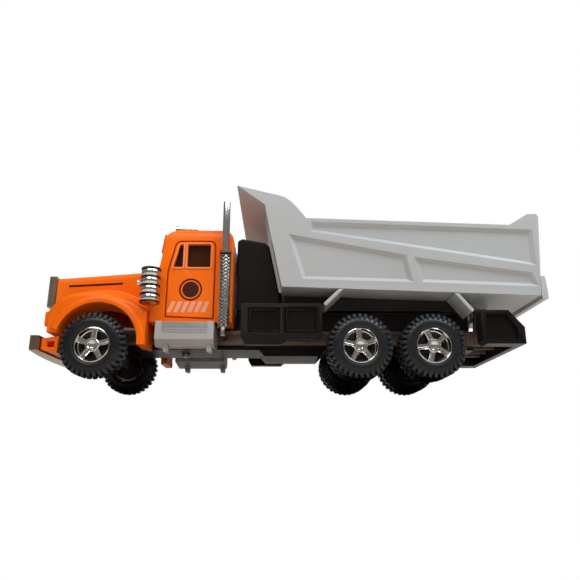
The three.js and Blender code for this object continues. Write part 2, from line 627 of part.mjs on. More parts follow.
// Tailgate: a ribbed plate that hangs between the side walls and widens behind them lower down.
function tailgate() {
  const { x, z, r, barrel } = GATE_PIVOT;
  const half = BED.half - BED.wall - GAP;
  const wide = BED.half - GAP;
  const sill = 47.6;
  const shoulder = 55;
  const lip = { x: -137.2, z: 42.5 };
  const plate = sidePrism([[-131.6, sill], [-131.6, z], [-133.6, z + 1.6], [-135, z], [-135.9, shoulder],
    [-135.9, sill]], -half, half);
  const skirt = sidePrism([[wallRear(shoulder) - GAP, shoulder], [wallRear(BED_REAR.z) - GAP - 0.1, BED_REAR.z],
    [lip.x + 3, lip.z], [lip.x, lip.z], [lip.x, lip.z + 4], [-136.6, shoulder]], -wide, wide);
  const sleeve = rodY(x, z, barrel, -half, half);
  const ribs = [-24, 0, 24].map((y) =>
    sidePrism([[-135, shoulder - 2], [-136.9, shoulder - 1], [-136.4, z - 6], [-134.6, z - 4]], y - 1.2, y + 1.2));
  return cut(join(plate, skirt, sleeve, ...ribs), rodY(x, z, r + GAP, -half - 1, half + 1));
}

// ---------------------------------------------------------------- wheels

// Tyre with a flat tread, round shoulders and a bore that grips the rim.
function tyre(x, y) {
  const half = TYRE_W / 2;
  const r = TYRE_R;
  const points = [[BORE_R + 0.2, -half + 0.6], [r - 2.2, -half], [r, -half + 2], [r, half - 2], [r - 2.2, half],
    [BORE_R + 0.2, half - 0.6]].map(([radius, across]) => [radius, across + y]);
  return turnedY([...points, points[0]], x, AXLE_Z, 32);
}

// Five-spoked wheel on a drum; the drum carries one tyre in front and two behind.
function rim(x, side, width) {
  const outerY = TYRE_OUTER_Y - 0.8;
  const back = outerY - width;
  const spokes = 5;
  const hubR = 3.4;
  const spokeW = 3;
  const face = 1.8;
  const bed = BORE_R - GAP;
  let body = cut(rodY(0, 0, bed, back, outerY, 30), rodY(0, 0, bed - 0.9, outerY - 4.4, outerY + 1, 30));
  body = body.add(rodY(0, 0, hubR, outerY - 5, outerY, 15));
  for (let i = 0; i < spokes; i += 1) {
    const angle = Math.PI / 2 + (i * 2 * Math.PI) / spokes;
    const geometry = new THREE.BoxGeometry(bed - 0.5, face, spokeW);
    geometry.translate((bed - 0.5) / 2, outerY - 0.5 - face / 2, 0);
    geometry.rotateY(-angle);
    body = body.add(solid(geometry));
  }
  body = body.subtract(rodY(0, 0, AXLE_R + GAP, back - 1, outerY - 1.4, 12));
  return mirrored(body.translate([x, 0, AXLE_Z]), side);
}

function axlePin(x) {
  const end = TYRE_OUTER_Y - 0.8 - 1.4 - GAP;
  return rodY(x, AXLE_Z, AXLE_R, -end, end, 12);
}

// ---------------------------------------------------------------- assembly

place('chassis_frame', chassisFrame(), 'frame');
place('chassis_belly', chassisBelly(), 'black');
place('bed_support_deck', bedSupportDeck(), 'black');
place('bumper_support', bumperSupport(), 'orange');
place('front_bumper', frontBumper(), 'chrome');
place('hood_shell', hoodShell(), 'orange');
place('grille_surround', grilleSurround(), 'grille');
place('radiator_mesh', radiatorMesh(), 'black');
place('cab_shell', cabShell(), 'orange');
place('cab_glazing', cabGlazing(), 'glass');
place('cab_interior', cabInterior(), 'black');
place('steering_wheel', steeringWheel(), 'black');
place('sun_visor', sunVisor(), 'orange');
place('rear_bumper', rearBumper(), 'black');
place('hoist_tank', hoistTank(), 'black');
place('chassis_screw_front', chassisScrew(60), 'steel');
place('chassis_screw_rear', chassisScrew(-56), 'steel');

for (const [name, side] of SIDES) {
  place(`headlight_${name}`, headlight(side), 'chrome');
  place(`air_horn_${name}`, airHorn(side), 'chrome');
  place(`air_cleaner_${name}`, airCleaner(side), 'chrome');
  place(`exhaust_stack_${name}`, exhaustStack(side), 'chrome');
  place(`heat_shield_${name}`, heatShield(side), 'chrome');
  place(`fuel_tank_${name}`, mirrored(fuelTank(1), side), 'silver');
  place(`side_box_${name}`, sideBox(side), 'black');
  place(`tail_lamp_${name}`, tailLamp(side), 'lamp');
  for (const end of ['front', 'rear']) {
    place(`mud_flap_${end}_${name}`, mudFlap(side, end), 'bed');
  }
}

place('bed_shell', bedShell(), 'bed');
place('bed_hinge_pin', rodY(BED_PIVOT.x, BED_PIVOT.z, BED_PIVOT.r, -FRAME.half, FRAME.half), 'steel');
place('tailgate', tailgate(), 'bed');
place('tailgate_pin', rodY(GATE_PIVOT.x, GATE_PIVOT.z, GATE_PIVOT.r, -BED.half, BED.half), 'steel');

for (const [axle, x] of Object.entries(AXLES_X)) {
  const dual = axle !== 'front';
  const outerY = TYRE_OUTER_Y - TYRE_W / 2;
  place(`axle_${axle}`, axlePin(x), 'steel');
  for (const [name, side] of SIDES) {
    place(`rim_${axle}_${name}`, rim(x, side, dual ? TYRE_W + DUAL_PITCH - 1.6 : TYRE_W - 1.6), 'chrome');
    place(`tyre_${axle}_${name}`, tyre(x, side * outerY), 'rubber');
    if (dual) {
      place(`tyre_${axle}_${name}_inner`, tyre(x, side * (outerY - DUAL_PITCH)), 'rubber');
    }
  }
}

export default truck;
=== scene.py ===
"""Studio scene of a 1:32 toy dump truck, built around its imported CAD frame.

Lengths are written in millimetres and turned into metres by mm(). +X is the truck's front, +Y its
left side and +Z up, as in the frame.
"""
import json
import math

import bmesh
import bpy
from mathutils import Matrix, Vector

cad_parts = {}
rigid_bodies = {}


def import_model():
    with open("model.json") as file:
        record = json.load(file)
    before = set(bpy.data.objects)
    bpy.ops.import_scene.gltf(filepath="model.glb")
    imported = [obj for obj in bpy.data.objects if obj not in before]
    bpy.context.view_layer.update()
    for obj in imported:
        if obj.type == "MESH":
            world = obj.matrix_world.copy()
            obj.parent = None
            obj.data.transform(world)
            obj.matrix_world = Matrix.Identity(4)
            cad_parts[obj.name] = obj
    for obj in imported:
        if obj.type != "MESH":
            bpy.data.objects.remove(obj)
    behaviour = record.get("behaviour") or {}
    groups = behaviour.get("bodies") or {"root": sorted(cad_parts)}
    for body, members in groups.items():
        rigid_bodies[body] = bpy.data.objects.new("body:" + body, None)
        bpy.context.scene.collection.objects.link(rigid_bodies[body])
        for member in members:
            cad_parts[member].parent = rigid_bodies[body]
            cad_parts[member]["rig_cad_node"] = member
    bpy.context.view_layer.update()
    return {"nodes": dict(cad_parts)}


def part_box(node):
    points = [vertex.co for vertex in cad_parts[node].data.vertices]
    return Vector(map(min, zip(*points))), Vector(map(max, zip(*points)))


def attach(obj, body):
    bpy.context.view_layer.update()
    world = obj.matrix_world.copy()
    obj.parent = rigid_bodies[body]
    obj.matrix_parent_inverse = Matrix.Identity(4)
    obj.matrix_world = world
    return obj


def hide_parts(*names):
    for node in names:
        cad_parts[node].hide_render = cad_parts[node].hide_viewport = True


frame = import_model()
nodes = frame["nodes"]

MM = 0.001
SIDES = (("left", 1), ("right", -1))
TAU = 2 * math.pi


def mm(*values):
    """Millimetres to a metric vector."""
    return Vector([value * MM for value in values])


def low(node, axis):
    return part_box(node)[0][axis] / MM


def high(node, axis):
    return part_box(node)[1][axis] / MM


def middle(node, axis):
    return (low(node, axis) + high(node, axis)) / 2


# ------------------------------------------------------------------ mesh building

WELD_NEAR = 0.002            # vertices closer than this become one
MERGE_NEAR = 0.004           # the same, before edges are rounded
ON_AXIS = 1e-6               # radius under which a turned ring is a single point
CORNER_STEPS = 5
CORNER_SHARE = 0.45          # most of a side that one rounded corner may take
MITRE_LIMIT = 0.3            # keeps sharp corners from shooting out when an outline is inset
SOFT_SHADE = 40              # degrees over which a softened piece keeps a sharp edge

def put_in_scene(thing):
    bpy.context.scene.collection.objects.link(thing)


def new_piece(name, bm, smooth=35):
    """A mesh object from a bmesh, smooth-shaded below an angle in degrees."""
    bmesh.ops.remove_doubles(bm, verts=bm.verts, dist=WELD_NEAR * MM)
    bmesh.ops.recalc_face_normals(bm, faces=bm.faces)
    mesh = bpy.data.meshes.new(name)
    bm.to_mesh(mesh)
    bm.free()
    piece = bpy.data.objects.new(name, mesh)
    put_in_scene(piece)
    shade(piece, smooth)
    return piece


def shade(piece, angle):
    mesh = piece.data
    mesh.shade_smooth()
    mesh.set_sharp_from_angle(angle=math.radians(angle))


def add_prism(bm, points, place, depth0, depth1, inset=0.0):
    """Adds a prism whose outline may shrink towards its far end. place(a, b, depth) gives x, y, z."""
    far = inset_outline(points, inset) if inset else points
    ring0 = [bm.verts.new(mm(*place(a, b, depth0))) for a, b in points]
    ring1 = [bm.verts.new(mm(*place(a, b, depth1))) for a, b in far]
    bm.faces.new(ring0)
    bm.faces.new(list(reversed(ring1)))
    count = len(points)
    for i in range(count):
        j = (i + 1) % count
        bm.faces.new((ring0[i], ring1[i], ring1[j], ring0[j]))


def inset_outline(points, amount):
    """The outline moved inwards by amount (outwards if negative)."""
    area = sum(points[i - 1][0] * points[i][1] - points[i][0] * points[i - 1][1] for i in range(len(points)))
    turn = 1 if area > 0 else -1
    result = []
    count = len(points)
    for i in range(count):
        here = Vector(points[i])
        before = (here - Vector(points[i - 1])).normalized()
        after = (Vector(points[(i + 1) % count]) - here).normalized()
        normal = Vector((-before.y - after.y, before.x + after.x)) * turn
        normal.normalize()
        cosine = max(MITRE_LIMIT, normal.dot(Vector((-before.y, before.x)) * turn))
        result.append(tuple(here + normal * (amount / cosine)))
    return result


def rounded(points):
    """Outline from (a, b, radius) corners, each corner eased over about its radius."""
    result = []
    count = len(points)
    for i, (a, b, radius) in enumerate(points):
        here = Vector((a, b))
        before = Vector(points[i - 1][:2]) - here
        after = Vector(points[(i + 1) % count][:2]) - here
        reach = min(radius, CORNER_SHARE * before.length, CORNER_SHARE * after.length)
        if reach <= 0:
            result.append((a, b))
            continue
        start = here + before.normalized() * reach
        end = here + after.normalized() * reach
        for k in range(CORNER_STEPS + 1):
            t = k / CORNER_STEPS
            result.append(tuple(start * (1 - t) ** 2 + here * 2 * t * (1 - t) + end * t * t))
    return result


def inset_corners(corners, amount):
    """Moves (a, b, radius) corners inwards by amount and tightens their radii to match."""
    moved = inset_outline([corner[:2] for corner in corners], amount)
    return [(a, b, max(0.0, corner[2] - amount)) for (a, b), corner in zip(moved, corners)]


def side_place(a, b, depth):
    return (a, depth, b)


def front_place(a, b, depth):
    return (depth, a, b)


def side_prism(name, points, y0, y1):
    bm = bmesh.new()
    add_prism(bm, points, side_place, y0, y1)
    return new_piece(name, bm)


def front_prism(name, points, x0, x1):
    bm = bmesh.new()
    add_prism(bm, points, front_place, x0, x1)
    return new_piece(name, bm)


def rectangle(a0, a1, b0, b1):
    return [(a0, b0), (a1, b0), (a1, b1), (a0, b1)]


def eased(a0, a1, b0, b1, radius):
    """Corners of a rectangle, as rounded() takes them."""
    return [(a, b, radius) for a, b in rectangle(a0, a1, b0, b1)]


def block(name, x0, x1, y0, y1, z0, z1):
    return side_prism(name, rectangle(x0, x1, z0, z1), y0, y1)


def add_lathe(bm, profile, place, steps, closed=False):
    """Turns (radius, along) points about an axis. place(u, v, along) gives x, y, z."""
    rings = []
    for radius, along in profile:
        if radius < ON_AXIS:
            rings.append([bm.verts.new(mm(*place(0, 0, along)))])
            continue
        ring = []
        for i in range(steps):
            angle = TAU * i / steps
            ring.append(bm.verts.new(mm(*place(radius * math.cos(angle), radius * math.sin(angle), along))))
        rings.append(ring)
    pairs = list(zip(rings, rings[1:]))
    if closed:
        pairs.append((rings[-1], rings[0]))
    for ring0, ring1 in pairs:
        for i in range(steps):
            j = (i + 1) % steps
            if len(ring0) == 1 and len(ring1) == 1:
                continue
            if len(ring0) == 1:
                bm.faces.new((ring0[0], ring1[i], ring1[j]))
            elif len(ring1) == 1:
                bm.faces.new((ring0[i], ring1[0], ring0[j]))
            else:
                bm.faces.new((ring0[i], ring1[i], ring1[j], ring0[j]))


def about_y(x, z):
    return lambda u, v, along: (x + u, along, z + v)


def about_z(x, y):
    return lambda u, v, along: (x + u, y + v, along)


def about_x(y, z):
    return lambda u, v, along: (along, y + u, z + v)


def lathe(name, profile, place, steps=48, closed=False):
    bm = bmesh.new()
    add_lathe(bm, profile, place, steps, closed)
    return new_piece(name, bm)


def cylinder(name, radius, y0, y1, x, z, steps=32):
    """A cylinder along y."""
    return lathe(name, [(0, y0), (radius, y0), (radius, y1), (0, y1)], about_y(x, z), steps)


def loft(name, rings, smooth=35):
    """Closed rings of equal length, joined in order and capped at both ends."""
    bm = bmesh.new()
    made = [[bm.verts.new(mm(*point)) for point in ring] for ring in rings]
    count = len(rings[0])
    for ring0, ring1 in zip(made, made[1:]):
        for i in range(count):
            j = (i + 1) % count
            bm.faces.new((ring0[i], ring1[i], ring1[j], ring0[j]))
    bm.faces.new(list(reversed(made[0])))
    bm.faces.new(made[-1])
    return new_piece(name, bm, smooth)


def baked(piece):
    """Applies the piece's modifiers to its mesh."""
    depsgraph = bpy.context.evaluated_depsgraph_get()
    mesh = bpy.data.meshes.new_from_object(piece.evaluated_get(depsgraph))
    old = piece.data
    piece.modifiers.clear()
    piece.data = mesh
    bpy.data.meshes.remove(old)


def combine(piece, others, operation):
    """Boolean join, cut or intersect with other pieces, which are used up."""
    for other in others:
        if not other.data.polygons:
            raise ValueError(f"{other.name} is empty")
        modifier = piece.modifiers.new(operation.lower(), "BOOLEAN")
        modifier.operation = operation
        modifier.solver = "EXACT"
        modifier.object = other
    baked(piece)
    if not piece.data.polygons:
        raise ValueError(f"{operation.lower()} left nothing of {piece.name}")
    for other in others:
        bpy.data.objects.remove(other)
    return piece


def carve(piece, *cutters):
    return combine(piece, cutters, "DIFFERENCE")


def weld(piece, *others):
    return combine(piece, others, "UNION")


def common(piece, *others):
    return combine(piece, others, "INTERSECT")


def soften(piece, width, segments=3, angle=28, flat=True):
    """Rounds edges sharper than an angle. flat merges coplanar faces first, which would tear faces
    that have holes in them."""
    weld_near = piece.modifiers.new("weld", "WELD")
    weld_near.merge_threshold = MERGE_NEAR * MM
    if flat:
        flatten = piece.modifiers.new("flatten", "DECIMATE")
        flatten.decimate_type = "DISSOLVE"
        flatten.angle_limit = math.radians(1.0)
    rounding = piece.modifiers.new("rounding", "BEVEL")
    rounding.width = width * MM
    rounding.segments = segments
    rounding.limit_method = "ANGLE"
    rounding.angle_limit = math.radians(angle)
    rounding.harden_normals = False
    rounding.use_clamp_overlap = True
    normals = piece.modifiers.new("normals", "WEIGHTED_NORMAL")
    normals.keep_sharp = True
    if not piece.get("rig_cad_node"):
        shade(piece, SOFT_SHADE)


# ------------------------------------------------------------------ materials

EDGE_WEAR_AND_HIGHLIGHT = (0.52, 0.6)      # pointiness at which an edge starts to lighten and is fully lightened, as wear and painted highlight
BUMP_DEPTH = 0.0004          # metres


def material(name, base, roughness, metallic=0.0, coat=0.0, grain=(400.0, 0.05), tone=(60.0, 0.06),
             wear_and_highlight=0.0, coat_roughness=0.08, rough_range=0.12, specular=0.5):
    """Procedural finish. grain and tone are a noise scale and a strength: slow tone noise shifts
    the colour and roughness, fine grain makes the bump, and wear_and_highlight lightens convex
    edges, partly as wear and partly as a painted edge highlight."""
    mat = bpy.data.materials.new(name)
    mat.use_nodes = True
    tree = mat.node_tree
    add = tree.nodes.new
    link = tree.links.new
    shader = tree.nodes["Principled BSDF"]
    shader.inputs["Metallic"].default_value = metallic
    shader.inputs["Coat Weight"].default_value = coat
    shader.inputs["Coat Roughness"].default_value = coat_roughness
    shader.inputs["Specular IOR Level"].default_value = specular
    coords = add("ShaderNodeTexCoord")

    slow = add("ShaderNodeTexNoise")
    slow.inputs["Scale"].default_value = tone[0]
    slow.inputs["Detail"].default_value = 4.0
    link(coords.outputs["Object"], slow.inputs["Vector"])
    dark = add("ShaderNodeMix")
    dark.data_type = "RGBA"
    dark.inputs["A"].default_value = (*[c * (1 - tone[1]) for c in base], 1)
    dark.inputs["B"].default_value = (*[min(1, c * (1 + tone[1])) for c in base], 1)
    link(slow.outputs["Fac"], dark.inputs["Factor"])
    colour = dark.outputs["Result"]

    # Convex edges are lightened: partly wear, partly a painted edge highlight.
    if wear_and_highlight:
        geometry = add("ShaderNodeNewGeometry")
        edge = add("ShaderNodeMapRange")
        edge.inputs["From Min"].default_value = EDGE_WEAR_AND_HIGHLIGHT[0]
        edge.inputs["From Max"].default_value = EDGE_WEAR_AND_HIGHLIGHT[1]
        link(geometry.outputs["Pointiness"], edge.inputs["Value"])
        worn_and_highlit = add("ShaderNodeMix")
        worn_and_highlit.data_type = "RGBA"
        worn_and_highlit.inputs["B"].default_value = (*[min(1, c * (1 + wear_and_highlight) + 0.01) for c in base], 1)
        link(colour, worn_and_highlit.inputs["A"])
        link(edge.outputs["Result"], worn_and_highlit.inputs["Factor"])
        colour = worn_and_highlit.outputs["Result"]
    link(colour, shader.inputs["Base Color"])

    fine = add("ShaderNodeTexNoise")
    fine.inputs["Scale"].default_value = grain[0]
    fine.inputs["Detail"].default_value = 6.0
    link(coords.outputs["Object"], fine.inputs["Vector"])
    spread = add("ShaderNodeMapRange")
    spread.inputs["To Min"].default_value = max(0.02, roughness - rough_range / 2)
    spread.inputs["To Max"].default_value = min(1.0, roughness + rough_range / 2)
    link(slow.outputs["Fac"], spread.inputs["Value"])
    link(spread.outputs["Result"], shader.inputs["Roughness"])
    bump = add("ShaderNodeBump")
    bump.inputs["Strength"].default_value = grain[1]
    bump.inputs["Distance"].default_value = BUMP_DEPTH
    link(fine.outputs["Fac"], bump.inputs["Height"])
    link(bump.outputs["Normal"], shader.inputs["Normal"])
    return mat


ORANGE = (0.98, 0.15, 0.0005)
# wear_and_highlight lightens edges as wear and painted highlight, strongest on the black moulding and the
# tyres.
FINISH = {
    "orange": material("orange enamel", ORANGE, 0.34, coat=0.06, grain=(900.0, 0.03), tone=(35.0, 0.05),
                       wear_and_highlight=0.12, coat_roughness=0.15, specular=0.18),
    "chrome": material("plated plastic", (0.83, 0.80, 0.76), 0.13, metallic=1.0, grain=(500.0, 0.06),
                       tone=(120.0, 0.06), rough_range=0.1),
    # Plating tinted dark brown: painted brown reflection.
    "brown_reflection_chrome": material("plating with painted brown reflection", (0.36, 0.27, 0.20), 0.3, metallic=0.85, grain=(700.0, 0.12),
                            tone=(150.0, 0.2)),
    "black": material("black moulding", (0.0045, 0.0028, 0.0022), 0.32, grain=(1400.0, 0.08),
                      tone=(80.0, 0.25), wear_and_highlight=1.5, specular=0.22),
    # The frame is the silver-grey moulding darkened to brown: painted shade.
    "frame": material("frame moulding in painted shade", (0.115, 0.075, 0.055), 0.45, grain=(1100.0, 0.08), tone=(60.0, 0.15),
                      wear_and_highlight=0.5, specular=0.3),
    "bed": material("bed moulding", (0.43, 0.435, 0.445), 0.42, grain=(1200.0, 0.05), tone=(30.0, 0.035),
                    wear_and_highlight=0.15),
    "silver": material("silver moulding", (0.36, 0.345, 0.34), 0.36, metallic=0.35, grain=(900.0, 0.1),
                       tone=(90.0, 0.1), wear_and_highlight=0.4),
    "rubber": material("tyre rubber", (0.0055, 0.0065, 0.008), 0.36, grain=(1600.0, 0.12), tone=(120.0, 0.3),
                       wear_and_highlight=1.6, rough_range=0.2, specular=0.4),
    "glass": material("smoked window", (0.045, 0.014, 0.004), 0.16, coat=0.1, grain=(300.0, 0.02),
                      tone=(40.0, 0.2), specular=0.15),
    "lamp": material("red lens", (0.42, 0.012, 0.01), 0.15, coat=0.6, grain=(900.0, 0.2), tone=(300.0, 0.2)),
    # Plating tinted dark brown: painted brown reflection.
    "bumper": material("plated bumper", (0.42, 0.34, 0.23), 0.17, metallic=0.95, grain=(600.0, 0.06),
                       tone=(110.0, 0.1)),
    "steel": material("bright steel", (0.55, 0.55, 0.56), 0.28, metallic=1.0, grain=(1500.0, 0.1),
                      tone=(200.0, 0.1)),
    "trim": material("pale window trim", (0.92, 0.27, 0.09), 0.35, coat=0.2, grain=(900.0, 0.03),
                     tone=(60.0, 0.08), specular=0.3),
    # Darker orange for the ring laid in the door groove: painted shade in the seam.
    "groove_shade": material("shadowed door seam", (0.42, 0.045, 0.001), 0.6, grain=(900.0, 0.05),
                     tone=(60.0, 0.1), specular=0.1),
    "mark": material("printed dark mark", (0.055, 0.008, 0.006), 0.45, grain=(1500.0, 0.04),
                     tone=(200.0, 0.25), specular=0.2),
    "stripe": material("printed pale stripe", (0.86, 0.38, 0.25), 0.45, grain=(1500.0, 0.04),
                       tone=(250.0, 0.12), specular=0.2),
}


def paint(piece, finish):
    piece.data.materials.clear()
    piece.data.materials.append(FINISH[finish])


def settle(piece, body, finish, *replaced):
    """Paints a new piece, lets it ride its body and hides the CAD parts it replaces."""
    paint(piece, finish)
    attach(piece, body)
    if replaced:
        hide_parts(*replaced)


# ------------------------------------------------------------------ wheels

TYRE_R = (high("tyre_front_left", 2) - low("tyre_front_left", 2)) / 2
TYRE_W = high("tyre_front_left", 1) - low("tyre_front_left", 1)
RIM_R = (high("rim_front_left", 2) - low("rim_front_left", 2)) / 2 + 0.1
LUGS = 34                    # shoulder blocks in one row of a tyre
LUG_SKEW = 0.14              # how far a block leans across the tread, in pitches
TREAD_DEPTH = 1.5
GROOVE_HALF = 0.45           # half of the groove between the two rows
SPOKES = 5
DISH_BACK = -4.7             # the dark dish behind the spokes, from the rim's outer face
WHEEL_TURNS = {"front": -3, "rear_1": 4, "rear_2": 22}    # degrees each axle has turned at rest
TYRE_TURN = 1.7              # a tyre is turned this much more than its rim


def tyre_mesh():
    """Block-tread tyre about the y axis: smooth crowned sidewalls, shoulder lugs and a centre groove."""
    half = TYRE_W / 2
    tread = TYRE_R - TREAD_DEPTH
    side = [(RIM_R + 0.15, half - 1.0), (RIM_R + 0.5, half - 0.35), (RIM_R + 1.3, half - 0.05),
            (RIM_R + 2.9, half), (RIM_R + 4.2, half - 0.25), (TYRE_R - 2.3, half - 0.85),
            (tread - 0.15, half - 1.7), (tread, half - 2.4)]
    profile = side + [(radius, -along) for radius, along in reversed(side)]
    bm = bmesh.new()
    add_lathe(bm, profile, about_y(0, 0), 96, closed=True)
    for row, phase in ((1, 0.0), (-1, 0.5)):
        for i in range(LUGS):
            add_lug(bm, TAU * (i + phase) / LUGS, row, half, tread)
    return new_piece("tyre", bm, 30)


def add_lug(bm, angle, row, half, tread):
    """One shoulder block, wider at its root, that reaches from the centre groove down the shoulder."""
    pitch = TAU / LUGS
    sections = [(GROOVE_HALF, TYRE_R, 0.27), (half - 1.3, TYRE_R - 0.05, 0.27),
                (half - 0.35, TYRE_R - 0.75, 0.25), (half - 0.02, TYRE_R - 2.6, 0.2)]
    roots = [(GROOVE_HALF, tread - 0.4, 0.31), (half - 1.3, tread - 0.4, 0.31),
             (half - 1.4, tread - 0.9, 0.29), (half - 0.9, TYRE_R - 3.0, 0.22)]
    rings = []
    for (across, radius, spread), (root_across, root_radius, root_spread) in zip(sections, roots):
        skew = LUG_SKEW * pitch * across / half
        ring = []
        for along, rad, turn in ((across, radius, -spread), (across, radius, spread),
                                 (root_across, root_radius, root_spread),
                                 (root_across, root_radius, -root_spread)):
            theta = angle + turn * pitch + skew
            ring.append(bm.verts.new(mm(rad * math.cos(theta), row * along, rad * math.sin(theta))))
        rings.append(ring)
    bm.faces.new(rings[0])
    bm.faces.new(list(reversed(rings[-1])))
    for ring0, ring1 in zip(rings, rings[1:]):
        for i in range(len(ring0)):
            j = (i + 1) % len(ring0)
            bm.faces.new((ring0[i], ring0[j], ring1[j], ring1[i]))


def rim_mesh(name, width):
    """Five ridged spokes and a round cap in front of a dark dish, inside a thin bright ring."""
    ring = [(RIM_R - 0.85, -4.0), (RIM_R - 0.75, -0.5), (RIM_R - 0.45, 0.0), (RIM_R - 0.1, -0.1),
            (RIM_R, -0.6), (RIM_R, -width + 0.4), (RIM_R - 0.5, -width), (RIM_R - 1.2, -width),
            (RIM_R - 1.2, -4.0)]
    bm = bmesh.new()
    add_lathe(bm, ring, about_y(0, 0), 80, closed=True)
    hub = [(0, -0.9), (1.5, -0.9), (1.75, -0.75), (2.2, -0.75), (2.5, -0.5), (3.2, -0.45),
           (3.6, -0.8), (3.75, -1.6), (3.75, -4.6), (0, -4.6)]
    add_lathe(bm, hub, about_y(0, 0), 40)
    for i in range(SPOKES):
        add_spoke(bm, math.pi / 2 + i * TAU / SPOKES)
    return new_piece(name, bm)


def add_spoke(bm, angle):
    """Straight spoke with two raised ridges and a groove down its middle."""
    inner = 2.6
    outer = RIM_R - 0.5
    across = [(-1.45, -2.6), (-1.45, -1.05), (-1.15, -0.62), (-0.6, -0.62), (-0.35, -0.95), (0.35, -0.95),
              (0.6, -0.62), (1.15, -0.62), (1.45, -1.05), (1.45, -2.6)]
    rings = []
    for radius, widen, drop in ((inner, 1.12, 0.0), ((inner + outer) / 2, 1.0, 0.1), (outer, 1.08, 0.25)):
        ring = []
        for offset, along in across:
            x = radius * math.cos(angle) - offset * widen * math.sin(angle)
            z = radius * math.sin(angle) + offset * widen * math.cos(angle)
            ring.append(bm.verts.new(mm(x, along - drop, z)))
        rings.append(ring)
    for ring0, ring1 in zip(rings, rings[1:]):
        for i in range(len(across)):
            j = (i + 1) % len(across)
            bm.faces.new((ring0[i], ring1[i], ring1[j], ring0[j]))
    bm.faces.new(rings[0])
    bm.faces.new(list(reversed(rings[-1])))


def dish_mesh(name):
    """Dark inner disc behind the spokes, with a rolled rim."""
    bm = bmesh.new()
    profile = [(0, DISH_BACK), (3.9, DISH_BACK), (RIM_R - 1.3, -3.7), (RIM_R - 1.0, -4.4),
               (RIM_R - 1.3, -5.2), (0, -5.6)]
    add_lathe(bm, profile, about_y(0, 0), 48)
    return new_piece(name, bm)


def copy_of(source, name, x, y, z, side, turn=0.0):
    """A copy of a piece modelled about the origin with +y outwards, turned about its axle."""
    piece = source.copy()
    piece.data = source.data.copy()
    piece.name = name
    put_in_scene(piece)
    spin = Matrix.Rotation(turn, 4, "Y")
    flip = Matrix.Rotation(math.pi if side < 0 else 0.0, 4, "Z")
    piece.data.transform(Matrix.Translation(mm(x, y, z)) @ flip @ spin)
    return piece


def build_wheels():
    tyre = tyre_mesh()
    rims = {"front": rim_mesh("rim single", high("rim_front_left", 1) - low("rim_front_left", 1)),
            "rear": rim_mesh("rim dual", high("rim_rear_1_left", 1) - low("rim_rear_1_left", 1))}
    dish = dish_mesh("dish")
    for axle, turned in WHEEL_TURNS.items():
        spin = math.radians(turned)
        body = f"{axle}_wheels"
        rim_source = rims["front" if axle == "front" else "rear"]
        for side_name, side in SIDES:
            rim_node = f"rim_{axle}_{side_name}"
            x = middle(rim_node, 0)
            z = middle(rim_node, 2)
            face = high(rim_node, 1) if side > 0 else low(rim_node, 1)
            rim = copy_of(rim_source, f"rim_{axle}_{side_name}_spoked", x, face, z, side, spin)
            settle(rim, body, "chrome", rim_node)
            disc = copy_of(dish, f"wheel_dish_{axle}_{side_name}", x, face, z, side)
            settle(disc, body, "black")
            for suffix in ("",) if axle == "front" else ("", "_inner"):
                node = f"tyre_{axle}_{side_name}{suffix}"
                y = middle(node, 1)
                rubber = copy_of(tyre, f"{node}_treaded", middle(node, 0), y, z, side,
                                 spin * TYRE_TURN)
                settle(rubber, body, "rubber", node)
        finish_node(f"axle_{axle}", "steel", 0.2)
    for source in (tyre, dish, *rims.values()):
        bpy.data.objects.remove(source)


def finish_node(name, finish, width=0.3, segments=3):
    """A CAD node that stays: softened edges and a proper finish."""
    node = nodes[name]
    paint(node, finish)
    soften(node, width, segments)


# ------------------------------------------------------------------ bed and tailgate

BED_HALF = 41.5
BED_WALL = 3.4
BED_FLOOR = 2.6
RECESS = 1.8                 # depth of the fields in the side panels
SLOPE = 2.2                  # width of a field's sloping border
HINGE_LUG = {"root": 6, "foot": 3, "below": 3.4, "y": (12.7, 16.7), "bore": 1.8}
PIN_BORE = 1.4
PIN_CHAMFER = 0.2
RIB_Y = 28.0                 # ribs on the bed's front wall
BED_FRONT = (4.5, 48.5)
BED_REAR = (-133.3, 44.1)
CANOPY_ROOT = (14.0, 95.7)
CANOPY_TIP = (29.5, 107.0)
BED_OUTLINE = [BED_FRONT, CANOPY_ROOT, CANOPY_TIP, (6.5, 101.3), (3.2, 100.2), (0.2, 98.2), (-3.4, 94.6),
               (-8.8, 87.7), (-120.5, 84.3), (-131.0, 90.8), (-136.0, 91.0), (-137.0, 89.0), BED_REAR]
LOAD_SPACE = [(BED_FRONT[0] - 2.2, BED_FRONT[1] + BED_FLOOR), (CANOPY_ROOT[0] - 1.9, CANOPY_ROOT[1] + 1.4),
              (CANOPY_TIP[0] - 1.2, CANOPY_TIP[1] + 1.2), (CANOPY_TIP[0] - 1.2, 119.0),
              (-145.0, 119.0), (-145.0, BED_REAR[1] + BED_FLOOR - 0.3)]
SIDE_FIELDS = [
    [(-13.4, 83.4), (-130.6, 79.5), (-130.6, 63.3), (-13.4, 81.6)],
    [(-2.2, 75.4), (-60.8, 64.6), (-63.0, 53.4), (-8.2, 54.8)],
    [(-69.6, 62.8), (-128.4, 54.8), (-129.6, 51.4), (-72.0, 53.3)],
]


def field_cutter(points, side):
    """Cutter for a recessed field whose border slopes from the panel's face down to its floor."""
    above = 1.0
    spread = SLOPE * (RECESS + above) / RECESS
    bm = bmesh.new()
    add_prism(bm, inset_outline(points, -spread), side_place, side * (BED_HALF + above),
              side * (BED_HALF - RECESS), spread)
    return new_piece("field", bm)


def bed_bottom(x):
    share = (x - BED_REAR[0]) / (BED_FRONT[0] - BED_REAR[0])
    return BED_REAR[1] + share * (BED_FRONT[1] - BED_REAR[1])


